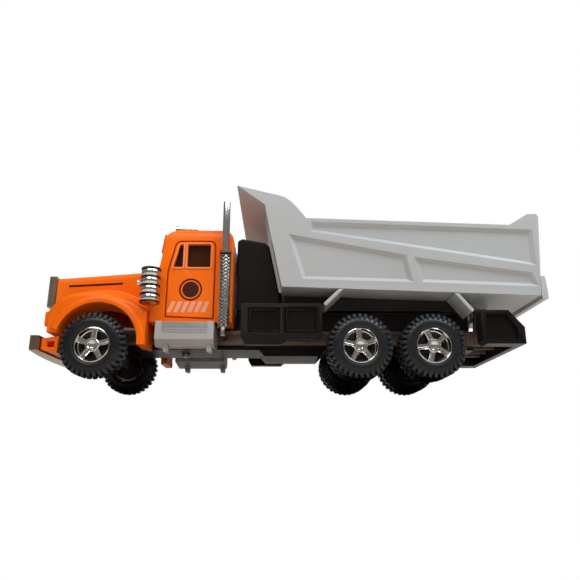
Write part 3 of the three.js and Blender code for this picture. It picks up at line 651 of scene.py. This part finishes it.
def bed_lug(side):
    x = middle("bed_hinge_pin", 0)
    z = middle("bed_hinge_pin", 2)
    root, foot, below = HINGE_LUG["root"], HINGE_LUG["foot"], HINGE_LUG["below"]
    outline = [(x - root, bed_bottom(x - root) + 0.6), (x - foot, z - below), (x + foot, z - below),
               (x + root, bed_bottom(x + root) + 0.6)]
    near, far = HINGE_LUG["y"]
    lug = side_prism("lug", outline, side * near, side * far)
    return carve(lug, cylinder("lug bore", HINGE_LUG["bore"], -20, 20, x, z))


def build_bed():
    shell = side_prism("bed_body", BED_OUTLINE, -BED_HALF, BED_HALF)
    cutters = [side_prism("load", LOAD_SPACE, -BED_HALF + BED_WALL, BED_HALF - BED_WALL)]
    cutters += [field_cutter(points, side) for _, side in SIDES for points in SIDE_FIELDS]
    pin_x = middle("tailgate_pin", 0)
    pin_z = middle("tailgate_pin", 2)
    bore = BED_HALF - 1.5
    cutters.append(cylinder("pin bore", PIN_BORE, -bore, bore, pin_x, pin_z))
    carve(shell, *cutters)
    ribs = []
    for y in (-RIB_Y, RIB_Y):
        outline = [(BED_FRONT[0] - 0.6, BED_FRONT[1] + 0.2), (BED_FRONT[0] + 1.5, BED_FRONT[1] + 0.2),
                   (CANOPY_ROOT[0] + 0.3, CANOPY_ROOT[1] - 4), (CANOPY_ROOT[0] - 1.6, CANOPY_ROOT[1] - 4)]
        ribs.append(side_prism("rib", outline, y - 1, y + 1))
    weld(shell, *ribs, *[bed_lug(side) for _, side in SIDES])
    soften(shell, 0.7, 4)
    settle(shell, "bed", "bed", "bed_shell")


def build_tailgate_pin():
    """Pin that ends inside the side walls, under their outer skin."""
    end = BED_HALF - 1.7
    r = (high("tailgate_pin", 2) - low("tailgate_pin", 2)) / 2
    edge = PIN_CHAMFER
    profile = [(0, -end), (r - edge, -end), (r, -end + edge), (r, end - edge), (r - edge, end), (0, end)]
    place = about_y(middle("tailgate_pin", 0), middle("tailgate_pin", 2))
    pin = lathe("tailgate_pin_rod", profile, place, 32)
    settle(pin, "bed", "steel", "tailgate_pin")


def build_tailgate():
    finish_node("tailgate", "bed", 0.5, 3)
    build_tailgate_pin()
    for side_name, _ in SIDES:
        for end in ("front", "rear"):
            finish_node(f"mud_flap_{end}_{side_name}", "bed", 0.6, 4)


# ------------------------------------------------------------------ hood

HOOD_FRONT = 131.0
HOOD_REAR = 75.2
HOOD_HALF = (20.0, 26.5)     # half width at the front and at the rear
HOOD_TOP = (59.5, 61.8)
HOOD_CORNER = 3.4
HOOD_CROWN = 0.5
HOOD_SKIN = 2.4
HOOD_ARC = 6                 # steps round a top corner
FENDER_OUT = 40.0
FENDER_IN = 17.2
FENDER_FRONT = 126.6
FENDER_BOTTOM = 17.4
FENDER_CORNER = 3.2
FENDER_ARC = 5               # steps round the outer corner
CROWN = {"x": 104.0, "z": 46.2, "front": (9.0, 22.6, 3), "rear": (10.0, 28.8, 2)}    # fall, reach, power
ARCH = {"x": 100.5, "z": 18.5, "r": 21.3, "proud": 0.9, "from": 18, "to": 183, "steps": 30}


def along_hood(x, front, rear):
    return rear + (front - rear) * (x - HOOD_REAR) / (HOOD_FRONT - HOOD_REAR)


def hood_ring(x, inset=0.0, bottom=31.0):
    """Front-view outline of the hood: flat sides, rounded top corners and a slightly crowned top."""
    half = along_hood(x, *HOOD_HALF) - inset
    top = along_hood(x, *HOOD_TOP) - inset
    corner = HOOD_CORNER
    ring = [(x, -half, bottom)]
    for i in range(HOOD_ARC + 1):
        angle = math.pi - i * math.pi / (2 * HOOD_ARC)
        ring.append((x, -half + corner + corner * math.cos(angle), top - corner + corner * math.sin(angle)))
    for share in (-0.6, -0.3, 0.0, 0.3, 0.6):
        ring.append((x, share * (half - corner), top + HOOD_CROWN * (1 - share * share)))
    for i in range(HOOD_ARC + 1):
        angle = math.pi / 2 - i * math.pi / (2 * HOOD_ARC)
        ring.append((x, half - corner + corner * math.cos(angle), top - corner + corner * math.sin(angle)))
    ring.append((x, half, bottom))
    return ring


def fender_top(x):
    """Height of the fender's crown: highest over the wheel, lower towards the cab and the bumper."""
    fall, reach, power = CROWN["front" if x > CROWN["x"] else "rear"]
    return CROWN["z"] - fall * (abs(x - CROWN["x"]) / reach) ** power


def fender_ring(x, side):
    """Section across one fender: a hollow curve from the hood's side, a crowned top and a flat outer face."""
    crown = fender_top(x)
    hood_half = along_hood(x, *HOOD_HALF)
    out = FENDER_OUT - max(0.0, x - 120.0) * 0.22
    span = out - hood_half
    points = [(FENDER_IN, FENDER_BOTTOM), (FENDER_IN, crown + 6.5), (hood_half - 0.4, crown + 6.5)]
    for share, lift in ((0.04, 4.4), (0.12, 2.6), (0.24, 1.3), (0.42, 0.6), (0.62, 0.2)):
        points.append((hood_half + span * share, crown + lift))
    corner = FENDER_CORNER
    for i in range(FENDER_ARC + 1):
        angle = math.pi / 2 * (1 - i / FENDER_ARC)
        points.append((out - corner + corner * math.cos(angle), crown - corner + corner * math.sin(angle)))
    points.append((out, FENDER_BOTTOM))
    return [(x, side * y, z) for y, z in points]


def arch_flare(side):
    """Raised rounded band round the wheel opening."""
    section = ((-0.4, -3.0), (-0.4, 0.2), (0.3, 0.8), (1.4, 1.0), (2.6, 0.7), (3.6, 0.1), (4.4, -1.2),
               (4.4, -3.0))
    rings = []
    steps = ARCH["steps"]
    start = math.radians(ARCH["from"])
    end = math.radians(ARCH["to"])
    for i in range(steps + 1):
        angle = start + (end - start) * i / steps
        ring = []
        for radial, out in section:
            radius = ARCH["r"] + radial
            ring.append((ARCH["x"] + radius * math.cos(angle), side * (FENDER_OUT + out * ARCH["proud"]),
                         ARCH["z"] + radius * math.sin(angle)))
        rings.append(ring)
    return loft("flare", rings, 50)


def build_hood():
    steps = 16
    stations = [HOOD_REAR + (HOOD_FRONT - HOOD_REAR) * i / steps for i in range(steps + 1)]
    shell = loft("hood_body", [hood_ring(x) for x in stations])
    fenders = []
    for _, side in SIDES:
        spots = [HOOD_REAR + (FENDER_FRONT - HOOD_REAR) * i / 24 for i in range(25)]
        fenders.append(loft("fender", [fender_ring(x, side) for x in spots]))
    flares = [arch_flare(side) for _, side in SIDES]
    weld(shell, *fenders, *flares)
    ends = (HOOD_REAR + HOOD_SKIN, HOOD_FRONT - HOOD_SKIN)
    cutters = [cylinder("well", ARCH["r"], -60, 60, ARCH["x"], ARCH["z"], 96),
               loft("hollow", [hood_ring(x, HOOD_SKIN, 10.0) for x in ends]),
               block("frame room", 60, 126, -20.6, 20.6, 0, 37.6),
               block("under rear", 60, 100, -60, 60, 0, FENDER_BOTTOM),
               side_prism("under front", [(112, 0), (112, 20), (118, 24), (140, 24), (140, 0)], -60, 60)]
    carve(shell, *cutters)
    soften(shell, 0.5, 3, angle=32)
    settle(shell, "chassis", "orange", "hood_shell")


# ------------------------------------------------------------------ cab

CAB_HALF = 35.0
CAB_SKIN = 2.2
CAB_FLOOR = 35.0             # the hollow is open below this
CAB_SIDE = [(31, 30.4, 0), (74.7, 30.4, 0), (74.7, 58, 1), (71, 60.5, 2), (68, 80.6, 3), (61, 84.5, 4),
            (36, 84, 4), (31, 79.5, 3)]
CAB_ACROSS = [(-CAB_HALF, 20, 0), (CAB_HALF, 20, 0), (CAB_HALF, 84.6, 7), (-CAB_HALF, 84.6, 7)]
DOOR = [(66.7, 33, 1), (66.7, 58.5, 3), (62.6, 76.6, 4), (40.4, 76.6, 4), (40.4, 31.9, 1)]
MAIN_WINDOW = [(56, 61.1, 0.7), (56, 74.4, 0.7), (43.4, 74.4, 0.7), (43.4, 61.1, 0.7)]
QUARTER_WINDOW = [(63.6, 61.1, 0.5), (60.3, 74.2, 0.5), (58.4, 74.2, 0.5), (58.4, 61.1, 0.5)]
WINDSHIELD_Y = (1.6, 28.5)   # a pane's edges, on each side of the middle bar
REAR_WINDOW = eased(-13, 13, 64, 76, 1.5)
DOOR_GROOVE = 1.1            # depth
DOOR_SEAM = 0.85             # width
DOOR_MARK = {"x": 53.5, "z": 48.4, "disc": 4.4, "ring": (5.3, 6.2)}
HAZARD = {"first": 65.7, "pitch": 3.6, "count": 6, "low": 35.7, "high": 41.7, "width": 2.2, "lean": 2.4}
PRINT = 0.12                 # how far printed marks stand off the paint


def cab_form(name, inset):
    """The cab's outer form, or with an inset the hollow inside it."""
    shape = rounded(inset_corners(CAB_SIDE, inset))
    across = rounded(inset_corners(CAB_ACROSS, inset))
    if inset:
        shape = [(x, z if z > CAB_FLOOR else 20) for x, z in shape]
        across = [(y, z if z > CAB_FLOOR else 10) for y, z in across]
    return common(side_prism(name, shape, -CAB_HALF - 1, CAB_HALF + 1), front_prism("across", across, 25, 80))


def outline_ring(name, outer, inner, y0, y1):
    return carve(side_prism(name, outer, y0, y1), side_prism("inner", inner, y0 - 2, y1 + 2))


def build_cab():
    shell = cab_form("cab_body", 0)
    cutters = [cab_form("cab_room", CAB_SKIN)]
    door = rounded(DOOR)
    for _, side in SIDES:
        inside, outside = sorted((side * (CAB_HALF - 5), side * (CAB_HALF + 2)))
        for window in (MAIN_WINDOW, QUARTER_WINDOW):
            cutters.append(side_prism("window", rounded(window), inside, outside))
        near, far = sorted((side * (CAB_HALF - DOOR_GROOVE), side * (CAB_HALF + 1)))
        cutters.append(side_prism("door_recess", door, near, far))
        left, right = sorted(side * y for y in WINDSHIELD_Y)
        pane = rounded([(left, 63.5, 1.5), (right, 63.5, 1.5), (right, 78, 2), (left, 78, 2)])
        cutters.append(front_prism("windshield", pane, 60, 78))
    cutters.append(front_prism("rear window", rounded(REAR_WINDOW), 28, 36))
    for cutter in cutters:
        carve(shell, cutter)
    soften(shell, 0.3, 2, flat=False)
    settle(shell, "chassis", "orange", "cab_shell")
    for side_name, side in SIDES:
        build_door_trim(side_name, side)


def build_door_trim(side_name, side):
    """Raised window rims and the printed marks of one door."""
    def span(inner, outer):
        return sorted((side * (CAB_HALF + inner), side * (CAB_HALF + outer)))

    for stem, window in (("main", MAIN_WINDOW), ("quarter", QUARTER_WINDOW)):
        opening = rounded(window)
        rim = outline_ring(f"{stem}_window_rim_{side_name}", inset_outline(opening, -1.0), opening,
                           *span(-0.3, 0.45))
        soften(rim, 0.15, 2, flat=False)
        settle(rim, "chassis", "trim")
    panel = side_prism(f"door_panel_{side_name}", rounded(inset_corners(DOOR, DOOR_SEAM)),
                       *span(-DOOR_GROOVE, 0.0))
    for window in (MAIN_WINDOW, QUARTER_WINDOW):
        carve(panel, side_prism("window", rounded(window), *span(-5, 5)))
    soften(panel, 0.3, 2, flat=False)
    settle(panel, "chassis", "orange")
    # A darker ring on the door groove's floor is painted shade in the seam.
    groove_shade = outline_ring(f"door_seam_shade_{side_name}", rounded(inset_corners(DOOR, 0.08)),
                        rounded(inset_corners(DOOR, DOOR_SEAM - 0.08)),
                        *span(-DOOR_GROOVE, -DOOR_GROOVE + 0.3))
    settle(groove_shade, "chassis", "groove_shade")
    y0, y1 = span(0.0, PRINT)
    x, z = DOOR_MARK["x"], DOOR_MARK["z"]
    disc = cylinder(f"door_disc_{side_name}", DOOR_MARK["disc"], y0, y1, x, z, 64)
    settle(disc, "chassis", "mark")
    r0, r1 = DOOR_MARK["ring"]
    ring = lathe(f"door_ring_{side_name}", rectangle(r0, r1, y0, y1), about_y(x, z), 64, closed=True)
    settle(ring, "chassis", "mark")
    bm = bmesh.new()
    for i in range(HAZARD["count"]):
        left = HAZARD["first"] - i * HAZARD["pitch"]
        top = left - HAZARD["lean"]
        add_prism(bm, [(left, HAZARD["low"]), (left - HAZARD["width"], HAZARD["low"]),
                       (top - HAZARD["width"], HAZARD["high"]), (top, HAZARD["high"])], side_place, y0, y1)
    settle(new_piece(f"door_hazard_{side_name}", bm), "chassis", "stripe")


def build_hood_stripe(side_name, side):
    """Plain dark pinstripe along the hood's flank."""
    bm = bmesh.new()

    def flank(x, z, proud):
        return (x, side * (along_hood(x, *HOOD_HALF) + proud), z)

    add_prism(bm, [(124, 53.6), (93, 54.2), (93, 55.3), (124, 54.7)], flank, -0.05, PRINT)
    settle(new_piece(f"hood_stripe_{side_name}", bm), "chassis", "mark")


# ------------------------------------------------------------------ stacks and air cleaners

FRAME_HALF = 20.0
STACK = {"x": 35.0, "y": 38.6, "foot": 22.5, "foot_r": 1.35, "top": 98.4, "r": 1.95}
SHIELD = {"low": 26.8, "high": 68.5, "r": 3.1}
GUARD_COLUMNS = 7            # zigzags round the guard
GUARD_PITCH = 1.9            # from one band to the next above it
GUARD_LEAN = 1.5             # how far a band climbs across half a column
GUARD_BAND = 1.0             # height of a band
GUARD_RELIEF = 0.55          # how far a band stands off the sleeve
GUARD_EDGE = 0.1
CLEANER = {"x": 74.0, "y": 40.3, "low": 39.3, "high": 59.2, "r": 5.0, "bulges": 4}


def add_zigzag(bm, x, y, base):
    """One raised band that zigzags round the guard, starting at height base."""
    steps = GUARD_COLUMNS * 4
    inner = SHIELD["r"] - GUARD_RELIEF - GUARD_EDGE
    outer = SHIELD["r"] - GUARD_EDGE
    rings = []
    for i in range(steps):
        share = abs((i * GUARD_COLUMNS / steps) % 1 - 0.5) * 2
        z = base + GUARD_LEAN * share
        angle = TAU * i / steps
        section = ((inner, z), (outer, z), (SHIELD["r"], z + GUARD_BAND / 2), (outer, z + GUARD_BAND),
                   (inner, z + GUARD_BAND))
        rings.append([bm.verts.new(mm(x + r * math.cos(angle), y + r * math.sin(angle), height))
                      for r, height in section])
    for i in range(steps):
        here, after = rings[i], rings[(i + 1) % steps]
        for j in range(len(here)):
            k = (j + 1) % len(here)
            bm.faces.new((here[j], here[k], after[k], after[j]))


def build_stack(side_name, side):
    """Pipe on a bracket, a dark sleeve with raised zigzag bands round it, and three collars."""
    x, y = STACK["x"], side * STACK["y"]
    r = STACK["r"]
    low_z, high_z = SHIELD["low"], SHIELD["high"]
    foot, foot_r, top = STACK["foot"], STACK["foot_r"], STACK["top"]
    profile = [(0, foot), (foot_r, foot), (foot_r, low_z + 2), (r, low_z + 3), (r, top - 1.2),
               (r - 0.15, top - 0.3), (r - 0.5, top), (r - 0.8, top - 0.2), (r - 0.8, top - 4), (0, top - 4)]
    pipe = lathe(f"stack_pipe_{side_name}", profile, about_z(x, y))
    inner = FRAME_HALF + 0.3
    arm = block("arm", x - 0.8, x + 0.8, *sorted((side * inner, y)), foot + 1, foot + 3)
    weld(pipe, arm)
    settle(pipe, "chassis", "chrome", f"exhaust_stack_{side_name}")
    r = SHIELD["r"]
    core = r - GUARD_RELIEF
    wall = rectangle(STACK["r"] + 0.15, core, low_z, high_z)
    sleeve = lathe(f"stack_guard_sleeve_{side_name}", wall, about_z(x, y), 64, closed=True)
    settle(sleeve, "chassis", "black")
    bm = bmesh.new()
    rows = int((high_z - low_z - GUARD_LEAN - GUARD_BAND) / GUARD_PITCH)
    for row in range(rows):
        add_zigzag(bm, x, y, low_z + 0.4 + row * GUARD_PITCH)
    settle(new_piece(f"stack_guard_{side_name}", bm), "chassis", "chrome", f"heat_shield_{side_name}")
    bm = bmesh.new()
    for z0, z1, proud in ((high_z - 0.9, high_z + 0.6, 0.2), (high_z - 2.6, high_z - 2.0, 0.15),
                          (low_z - 0.3, low_z + 0.5, 0.1)):
        ring = [(STACK["r"] + 0.05, z0), (r + proud - 0.2, z0), (r + proud, z0 + 0.2), (r + proud, z1 - 0.2),
                (r + proud - 0.2, z1), (STACK["r"] + 0.05, z1)]
        add_lathe(bm, ring, about_z(x, y), 48, closed=True)
    settle(new_piece(f"stack_collars_{side_name}", bm), "chassis", "brown_reflection_chrome")


def build_cleaner(side_name, side):
    """Plated can with bulging segments, black bands between them, a domed cap and a side knob."""
    x, y = CLEANER["x"], side * CLEANER["y"]
    low_z, high_z, r, count = CLEANER["low"], CLEANER["high"], CLEANER["r"], CLEANER["bulges"]
    pitch = (high_z - 1.4 - low_z) / count
    profile = [(0, low_z), (r * 0.78, low_z)]
    seams = []
    for i in range(count):
        for share, swell in ((0.1, 0.9), (0.22, 0.97), (0.5, 1.0), (0.78, 0.97), (0.9, 0.9)):
            profile.append((r * swell, low_z + (i + share) * pitch))
        seams.append(low_z + (i + 1) * pitch)
    profile += [(r * 0.82, high_z - 0.9), (r * 0.6, high_z - 0.3), (0, high_z)]
    can = lathe(f"cleaner_can_{side_name}", profile, about_z(x, y), 56)
    knob = lathe("knob", [(0, x + r * 0.7), (1.2, x + r * 0.7), (1.2, x + r + 0.6), (1.7, x + r + 0.8),
                          (1.7, x + r + 1.6), (0, x + r + 1.9)],
                 about_x(y, low_z + 0.55 * (high_z - low_z)), 32)
    weld(can, knob)
    settle(can, "chassis", "chrome", f"air_cleaner_{side_name}")
    bm = bmesh.new()
    for z in [low_z + 0.5, *seams]:
        band = [(r * 0.8, z - 0.45), (r + 0.1, z - 0.45), (r + 0.25, z), (r + 0.1, z + 0.45),
                (r * 0.8, z + 0.45)]
        add_lathe(bm, band, about_z(x, y), 56, closed=True)
    settle(new_piece(f"cleaner_bands_{side_name}", bm), "chassis", "black")


# ------------------------------------------------------------------ step tank and box trims

TANK = {"front": 70.0, "rear": 39.6, "face": 41.0}
GRIP_BEADS = 26
GRIP_ROWS = ((23.9, 24.7), (19.9, 20.5))    # bottom and top of each row of beads
GRIP_HALF = 0.35
LEDGE = (25.1, 25.7)


def build_tank_trim(side_name, side):
    """Two rows of grip beads along the step, under a thin raised ledge."""
    bm = bmesh.new()
    span = TANK["front"] - TANK["rear"] - 9
    y0, y1 = sorted((side * (TANK["face"] - 0.3), side * (TANK["face"] + 0.35)))
    for i in range(GRIP_BEADS):
        x = TANK["rear"] + 4.5 + span * (i + 0.5) / GRIP_BEADS
        for z0, z1 in GRIP_ROWS:
            add_prism(bm, rectangle(x - GRIP_HALF, x + GRIP_HALF, z0, z1), side_place, y0, y1)
    ledge0, ledge1 = TANK["rear"] + 3.4, TANK["front"] - 3.4
    add_prism(bm, rectangle(ledge0, ledge1, *LEDGE), side_place, y0, y1)
    settle(new_piece(f"step_grip_{side_name}", bm), "chassis", "silver")


HEADLIGHT_FLUTES = 6
BOX_DOORS = {"spans": ((5.3, 22.0), (-13.4, 2.7)), "low": 23.4, "high": 36.8, "face": 42.0}


def build_headlight(side_name, _):
    """Painted bezel round a plated lens with upright flutes."""
    node = f"headlight_{side_name}"
    x0, x1 = low(node, 0), high(node, 0)
    y0, y1, z0, z1 = low(node, 1), high(node, 1), low(node, 2), high(node, 2)
    corners = eased(y0, y1, z0, z1, 1.6)
    bezel = front_prism(f"headlight_bezel_{side_name}", rounded(corners), x0, x1)
    carve(bezel, front_prism("inner", rounded(inset_corners(corners, 1.1)), x0 - 1, x1 + 1))
    soften(bezel, 0.25, 2, flat=False)
    settle(bezel, "chassis", "orange", node)
    lens = front_prism(f"headlight_lens_{side_name}", rounded(inset_corners(corners, 1.2)), x0, x1 - 0.6)
    bars = []
    for i in range(HEADLIGHT_FLUTES):
        y = y0 + 1.8 + (y1 - y0 - 3.6) * (i + 0.5) / HEADLIGHT_FLUTES
        bars.append(block("flute", x1 - 0.9, x1 - 0.3, y - 0.5, y + 0.5, z0 + 1.8, z1 - 1.8))
    weld(lens, *bars)
    soften(lens, 0.15, 2, flat=False)
    settle(lens, "chassis", "chrome")


def build_box_trim(side_name, side):
    """Thin frame inside each box door's recess."""
    low_z, high_z, face = BOX_DOORS["low"], BOX_DOORS["high"], BOX_DOORS["face"]
    for number, (x0, x1) in enumerate(BOX_DOORS["spans"]):
        corners = eased(x0 + 0.5, x1 - 0.5, low_z + 0.5, high_z - 0.5, 1.4)
        y0, y1 = sorted((side * (face - 1.7), side * (face - 0.8)))
        rim = outline_ring(f"box_door_rim_{number}_{side_name}", rounded(corners),
                           rounded(inset_corners(corners, 0.9)), y0, y1)
        soften(rim, 0.15, 2, flat=False)
        settle(rim, "chassis", "black")


# ------------------------------------------------------------------ plain CAD pieces

KEPT = {
    "chassis_frame": ("frame", 0.3), "chassis_belly": ("black", 0.4),
    "bed_support_deck": ("black", 0.5), "bumper_support": ("orange", 0.5),
    "front_bumper": ("bumper", 0.6), "grille_surround": ("brown_reflection_chrome", 0.5),
    "radiator_mesh": ("black", 0.15),
    "cab_glazing": ("glass", 0.15), "cab_interior": ("black", 0.5),
    "steering_wheel": ("black", 0.2), "sun_visor": ("orange", 0.4), "rear_bumper": ("black", 0.5),
    "hoist_tank": ("black", 1.0), "chassis_screw_front": ("steel", 0.15),
    "chassis_screw_rear": ("steel", 0.15),
    "bed_hinge_pin": ("steel", 0.2),
}
KEPT_PAIRS = {
    "air_horn": ("chrome", 0.15), "fuel_tank": ("silver", 0.5),
    "side_box": ("black", 0.45), "tail_lamp": ("lamp", 0.2),
}


def build_kept():
    for name, (finish, width) in KEPT.items():
        finish_node(name, finish, width)
    for stem, (finish, width) in KEPT_PAIRS.items():
        for side_name, _ in SIDES:
            finish_node(f"{stem}_{side_name}", finish, width)


# ------------------------------------------------------------------ stage, lights and camera

FLOOR_LIT = 0.30             # metres from the truck to where the panels' light starts to fade
FLOOR_FAR = 1.5
FLOOR_HALF = 1600
FLOOR_DROP = 0.02            # keeps the floor just under the tyres


def build_floor():
    """Pale floor that stays pale past the panels' light. It is seen from above only, so that a view
    from below it isn't blocked."""
    bm = bmesh.new()
    corners = rectangle(-FLOOR_HALF, FLOOR_HALF, -FLOOR_HALF, FLOOR_HALF)
    bm.faces.new([bm.verts.new(mm(x, y, -FLOOR_DROP)) for x, y in corners])
    mesh = bpy.data.meshes.new("floor")
    bm.to_mesh(mesh)
    bm.free()
    floor = bpy.data.objects.new("floor", mesh)
    put_in_scene(floor)
    mat = bpy.data.materials.new("floor")
    mat.use_nodes = True
    tree = mat.node_tree
    add = tree.nodes.new
    link = tree.links.new
    shader = tree.nodes["Principled BSDF"]
    shader.inputs["Base Color"].default_value = (0.68, 0.59, 0.51, 1)
    shader.inputs["Roughness"].default_value = 0.7
    coords = add("ShaderNodeTexCoord")
    distance = add("ShaderNodeVectorMath")
    distance.operation = "LENGTH"
    lift = add("ShaderNodeMapRange")
    lift.inputs["From Min"].default_value = FLOOR_LIT
    lift.inputs["From Max"].default_value = FLOOR_FAR
    lift.inputs["To Max"].default_value = 0.75
    link(coords.outputs["Object"], distance.inputs[0])
    link(distance.outputs["Value"], lift.inputs["Value"])
    link(lift.outputs["Result"], shader.inputs["Emission Strength"])
    shader.inputs["Emission Color"].default_value = (0.93, 0.90, 0.86, 1)
    geometry = add("ShaderNodeNewGeometry")
    clear = add("ShaderNodeBsdfTransparent")
    choose = add("ShaderNodeMixShader")
    link(geometry.outputs["Backfacing"], choose.inputs["Fac"])
    link(shader.outputs["BSDF"], choose.inputs[1])
    link(clear.outputs["BSDF"], choose.inputs[2])
    link(choose.outputs["Shader"], tree.nodes["Material Output"].inputs["Surface"])
    floor.data.materials.append(mat)


def area_light(name, place, aim, size, power, colour):
    light = bpy.data.lights.new(name, "AREA")
    light.shape = "RECTANGLE"
    light.size = size[0] * MM
    light.size_y = size[1] * MM
    light.energy = power
    light.color = colour
    lamp = bpy.data.objects.new(name, light)
    lamp.location = mm(*place)
    lamp.rotation_euler = (mm(*aim) - lamp.location).to_track_quat("-Z", "Y").to_euler()
    put_in_scene(lamp)
    lamp.visible_camera = False


PANELS = (                   # name, place, aim, size, power in watts, colour
    ("sky panel", (-320, 210, 560), (-30, 0, 50), (520, 380), 4.2, (0.80, 0.91, 1.0)),
    ("front panel", (160, 440, 560), (20, 20, 45), (420, 360), 2.3, (1.0, 0.93, 0.84)),
    ("warm low panel", (120, 330, -330), (0, 0, 40), (520, 260), 0.12, (1.0, 0.62, 0.38)),
    ("back panel", (40, -560, 380), (0, 0, 50), (500, 400), 1.0, (0.92, 0.96, 1.0)),
)


def build_lights():
    """Soft panels, and a world that is white to the camera but lights the truck only gently."""
    for panel in PANELS:
        area_light(*panel)
    world = bpy.context.scene.world or bpy.data.worlds.new("studio")
    bpy.context.scene.world = world
    world.use_nodes = True
    tree = world.node_tree
    tree.nodes.clear()
    add = tree.nodes.new
    link = tree.links.new
    out = add("ShaderNodeOutputWorld")
    seen = add("ShaderNodeBackground")
    seen.inputs["Color"].default_value = (1, 1, 1, 1)
    seen.inputs["Strength"].default_value = 1.0
    fill = add("ShaderNodeBackground")
    fill.inputs["Strength"].default_value = 0.2
    coords = add("ShaderNodeTexCoord")
    split = add("ShaderNodeSeparateXYZ")
    height = add("ShaderNodeMapRange")
    height.inputs["From Min"].default_value = -0.6
    height.inputs["From Max"].default_value = 0.6
    sky = add("ShaderNodeMix")
    sky.data_type = "RGBA"
    sky.inputs["A"].default_value = (0.55, 0.36, 0.24, 1)
    sky.inputs["B"].default_value = (0.85, 0.94, 1.0, 1)
    link(coords.outputs["Generated"], split.inputs["Vector"])
    link(split.outputs["Z"], height.inputs["Value"])
    link(height.outputs["Result"], sky.inputs["Factor"])
    link(sky.outputs["Result"], fill.inputs["Color"])
    path = add("ShaderNodeLightPath")
    choose = add("ShaderNodeMixShader")
    link(path.outputs["Is Camera Ray"], choose.inputs["Fac"])
    link(fill.outputs["Background"], choose.inputs[1])
    link(seen.outputs["Background"], choose.inputs[2])
    link(choose.outputs["Shader"], out.inputs["Surface"])


CAMERA_PLACE = (4.25, 335.5, -39.7)
CAMERA_HEADING = 0.82        # degrees that the view turns towards the bed
CAMERA_PITCH = 16.33         # degrees that the view looks up
LENS = 36.0
SENSOR = 36.0


def build_camera():
    data = bpy.data.cameras.new("camera")
    data.lens = LENS
    data.sensor_width = SENSOR
    data.clip_start = 0.01
    camera = bpy.data.objects.new("camera", data)
    camera.location = mm(*CAMERA_PLACE)
    heading = math.radians(CAMERA_HEADING)
    pitch = math.radians(CAMERA_PITCH)
    level = math.cos(pitch)
    forward = Vector((-math.sin(heading) * level, -math.cos(heading) * level, math.sin(pitch)))
    camera.rotation_euler = forward.to_track_quat("-Z", "Y").to_euler()
    put_in_scene(camera)
    bpy.context.scene.camera = camera
    bpy.context.scene.view_settings.view_transform = "Standard"


build_camera()
build_floor()
build_lights()
build_kept()
build_wheels()
build_hood()
build_cab()
build_bed()
build_tailgate()
for side_word, direction in SIDES:
    for build_part in (build_hood_stripe, build_stack, build_cleaner, build_tank_trim, build_box_trim,
                       build_headlight):
        build_part(side_word, direction)

bpy.context.view_layer.update()
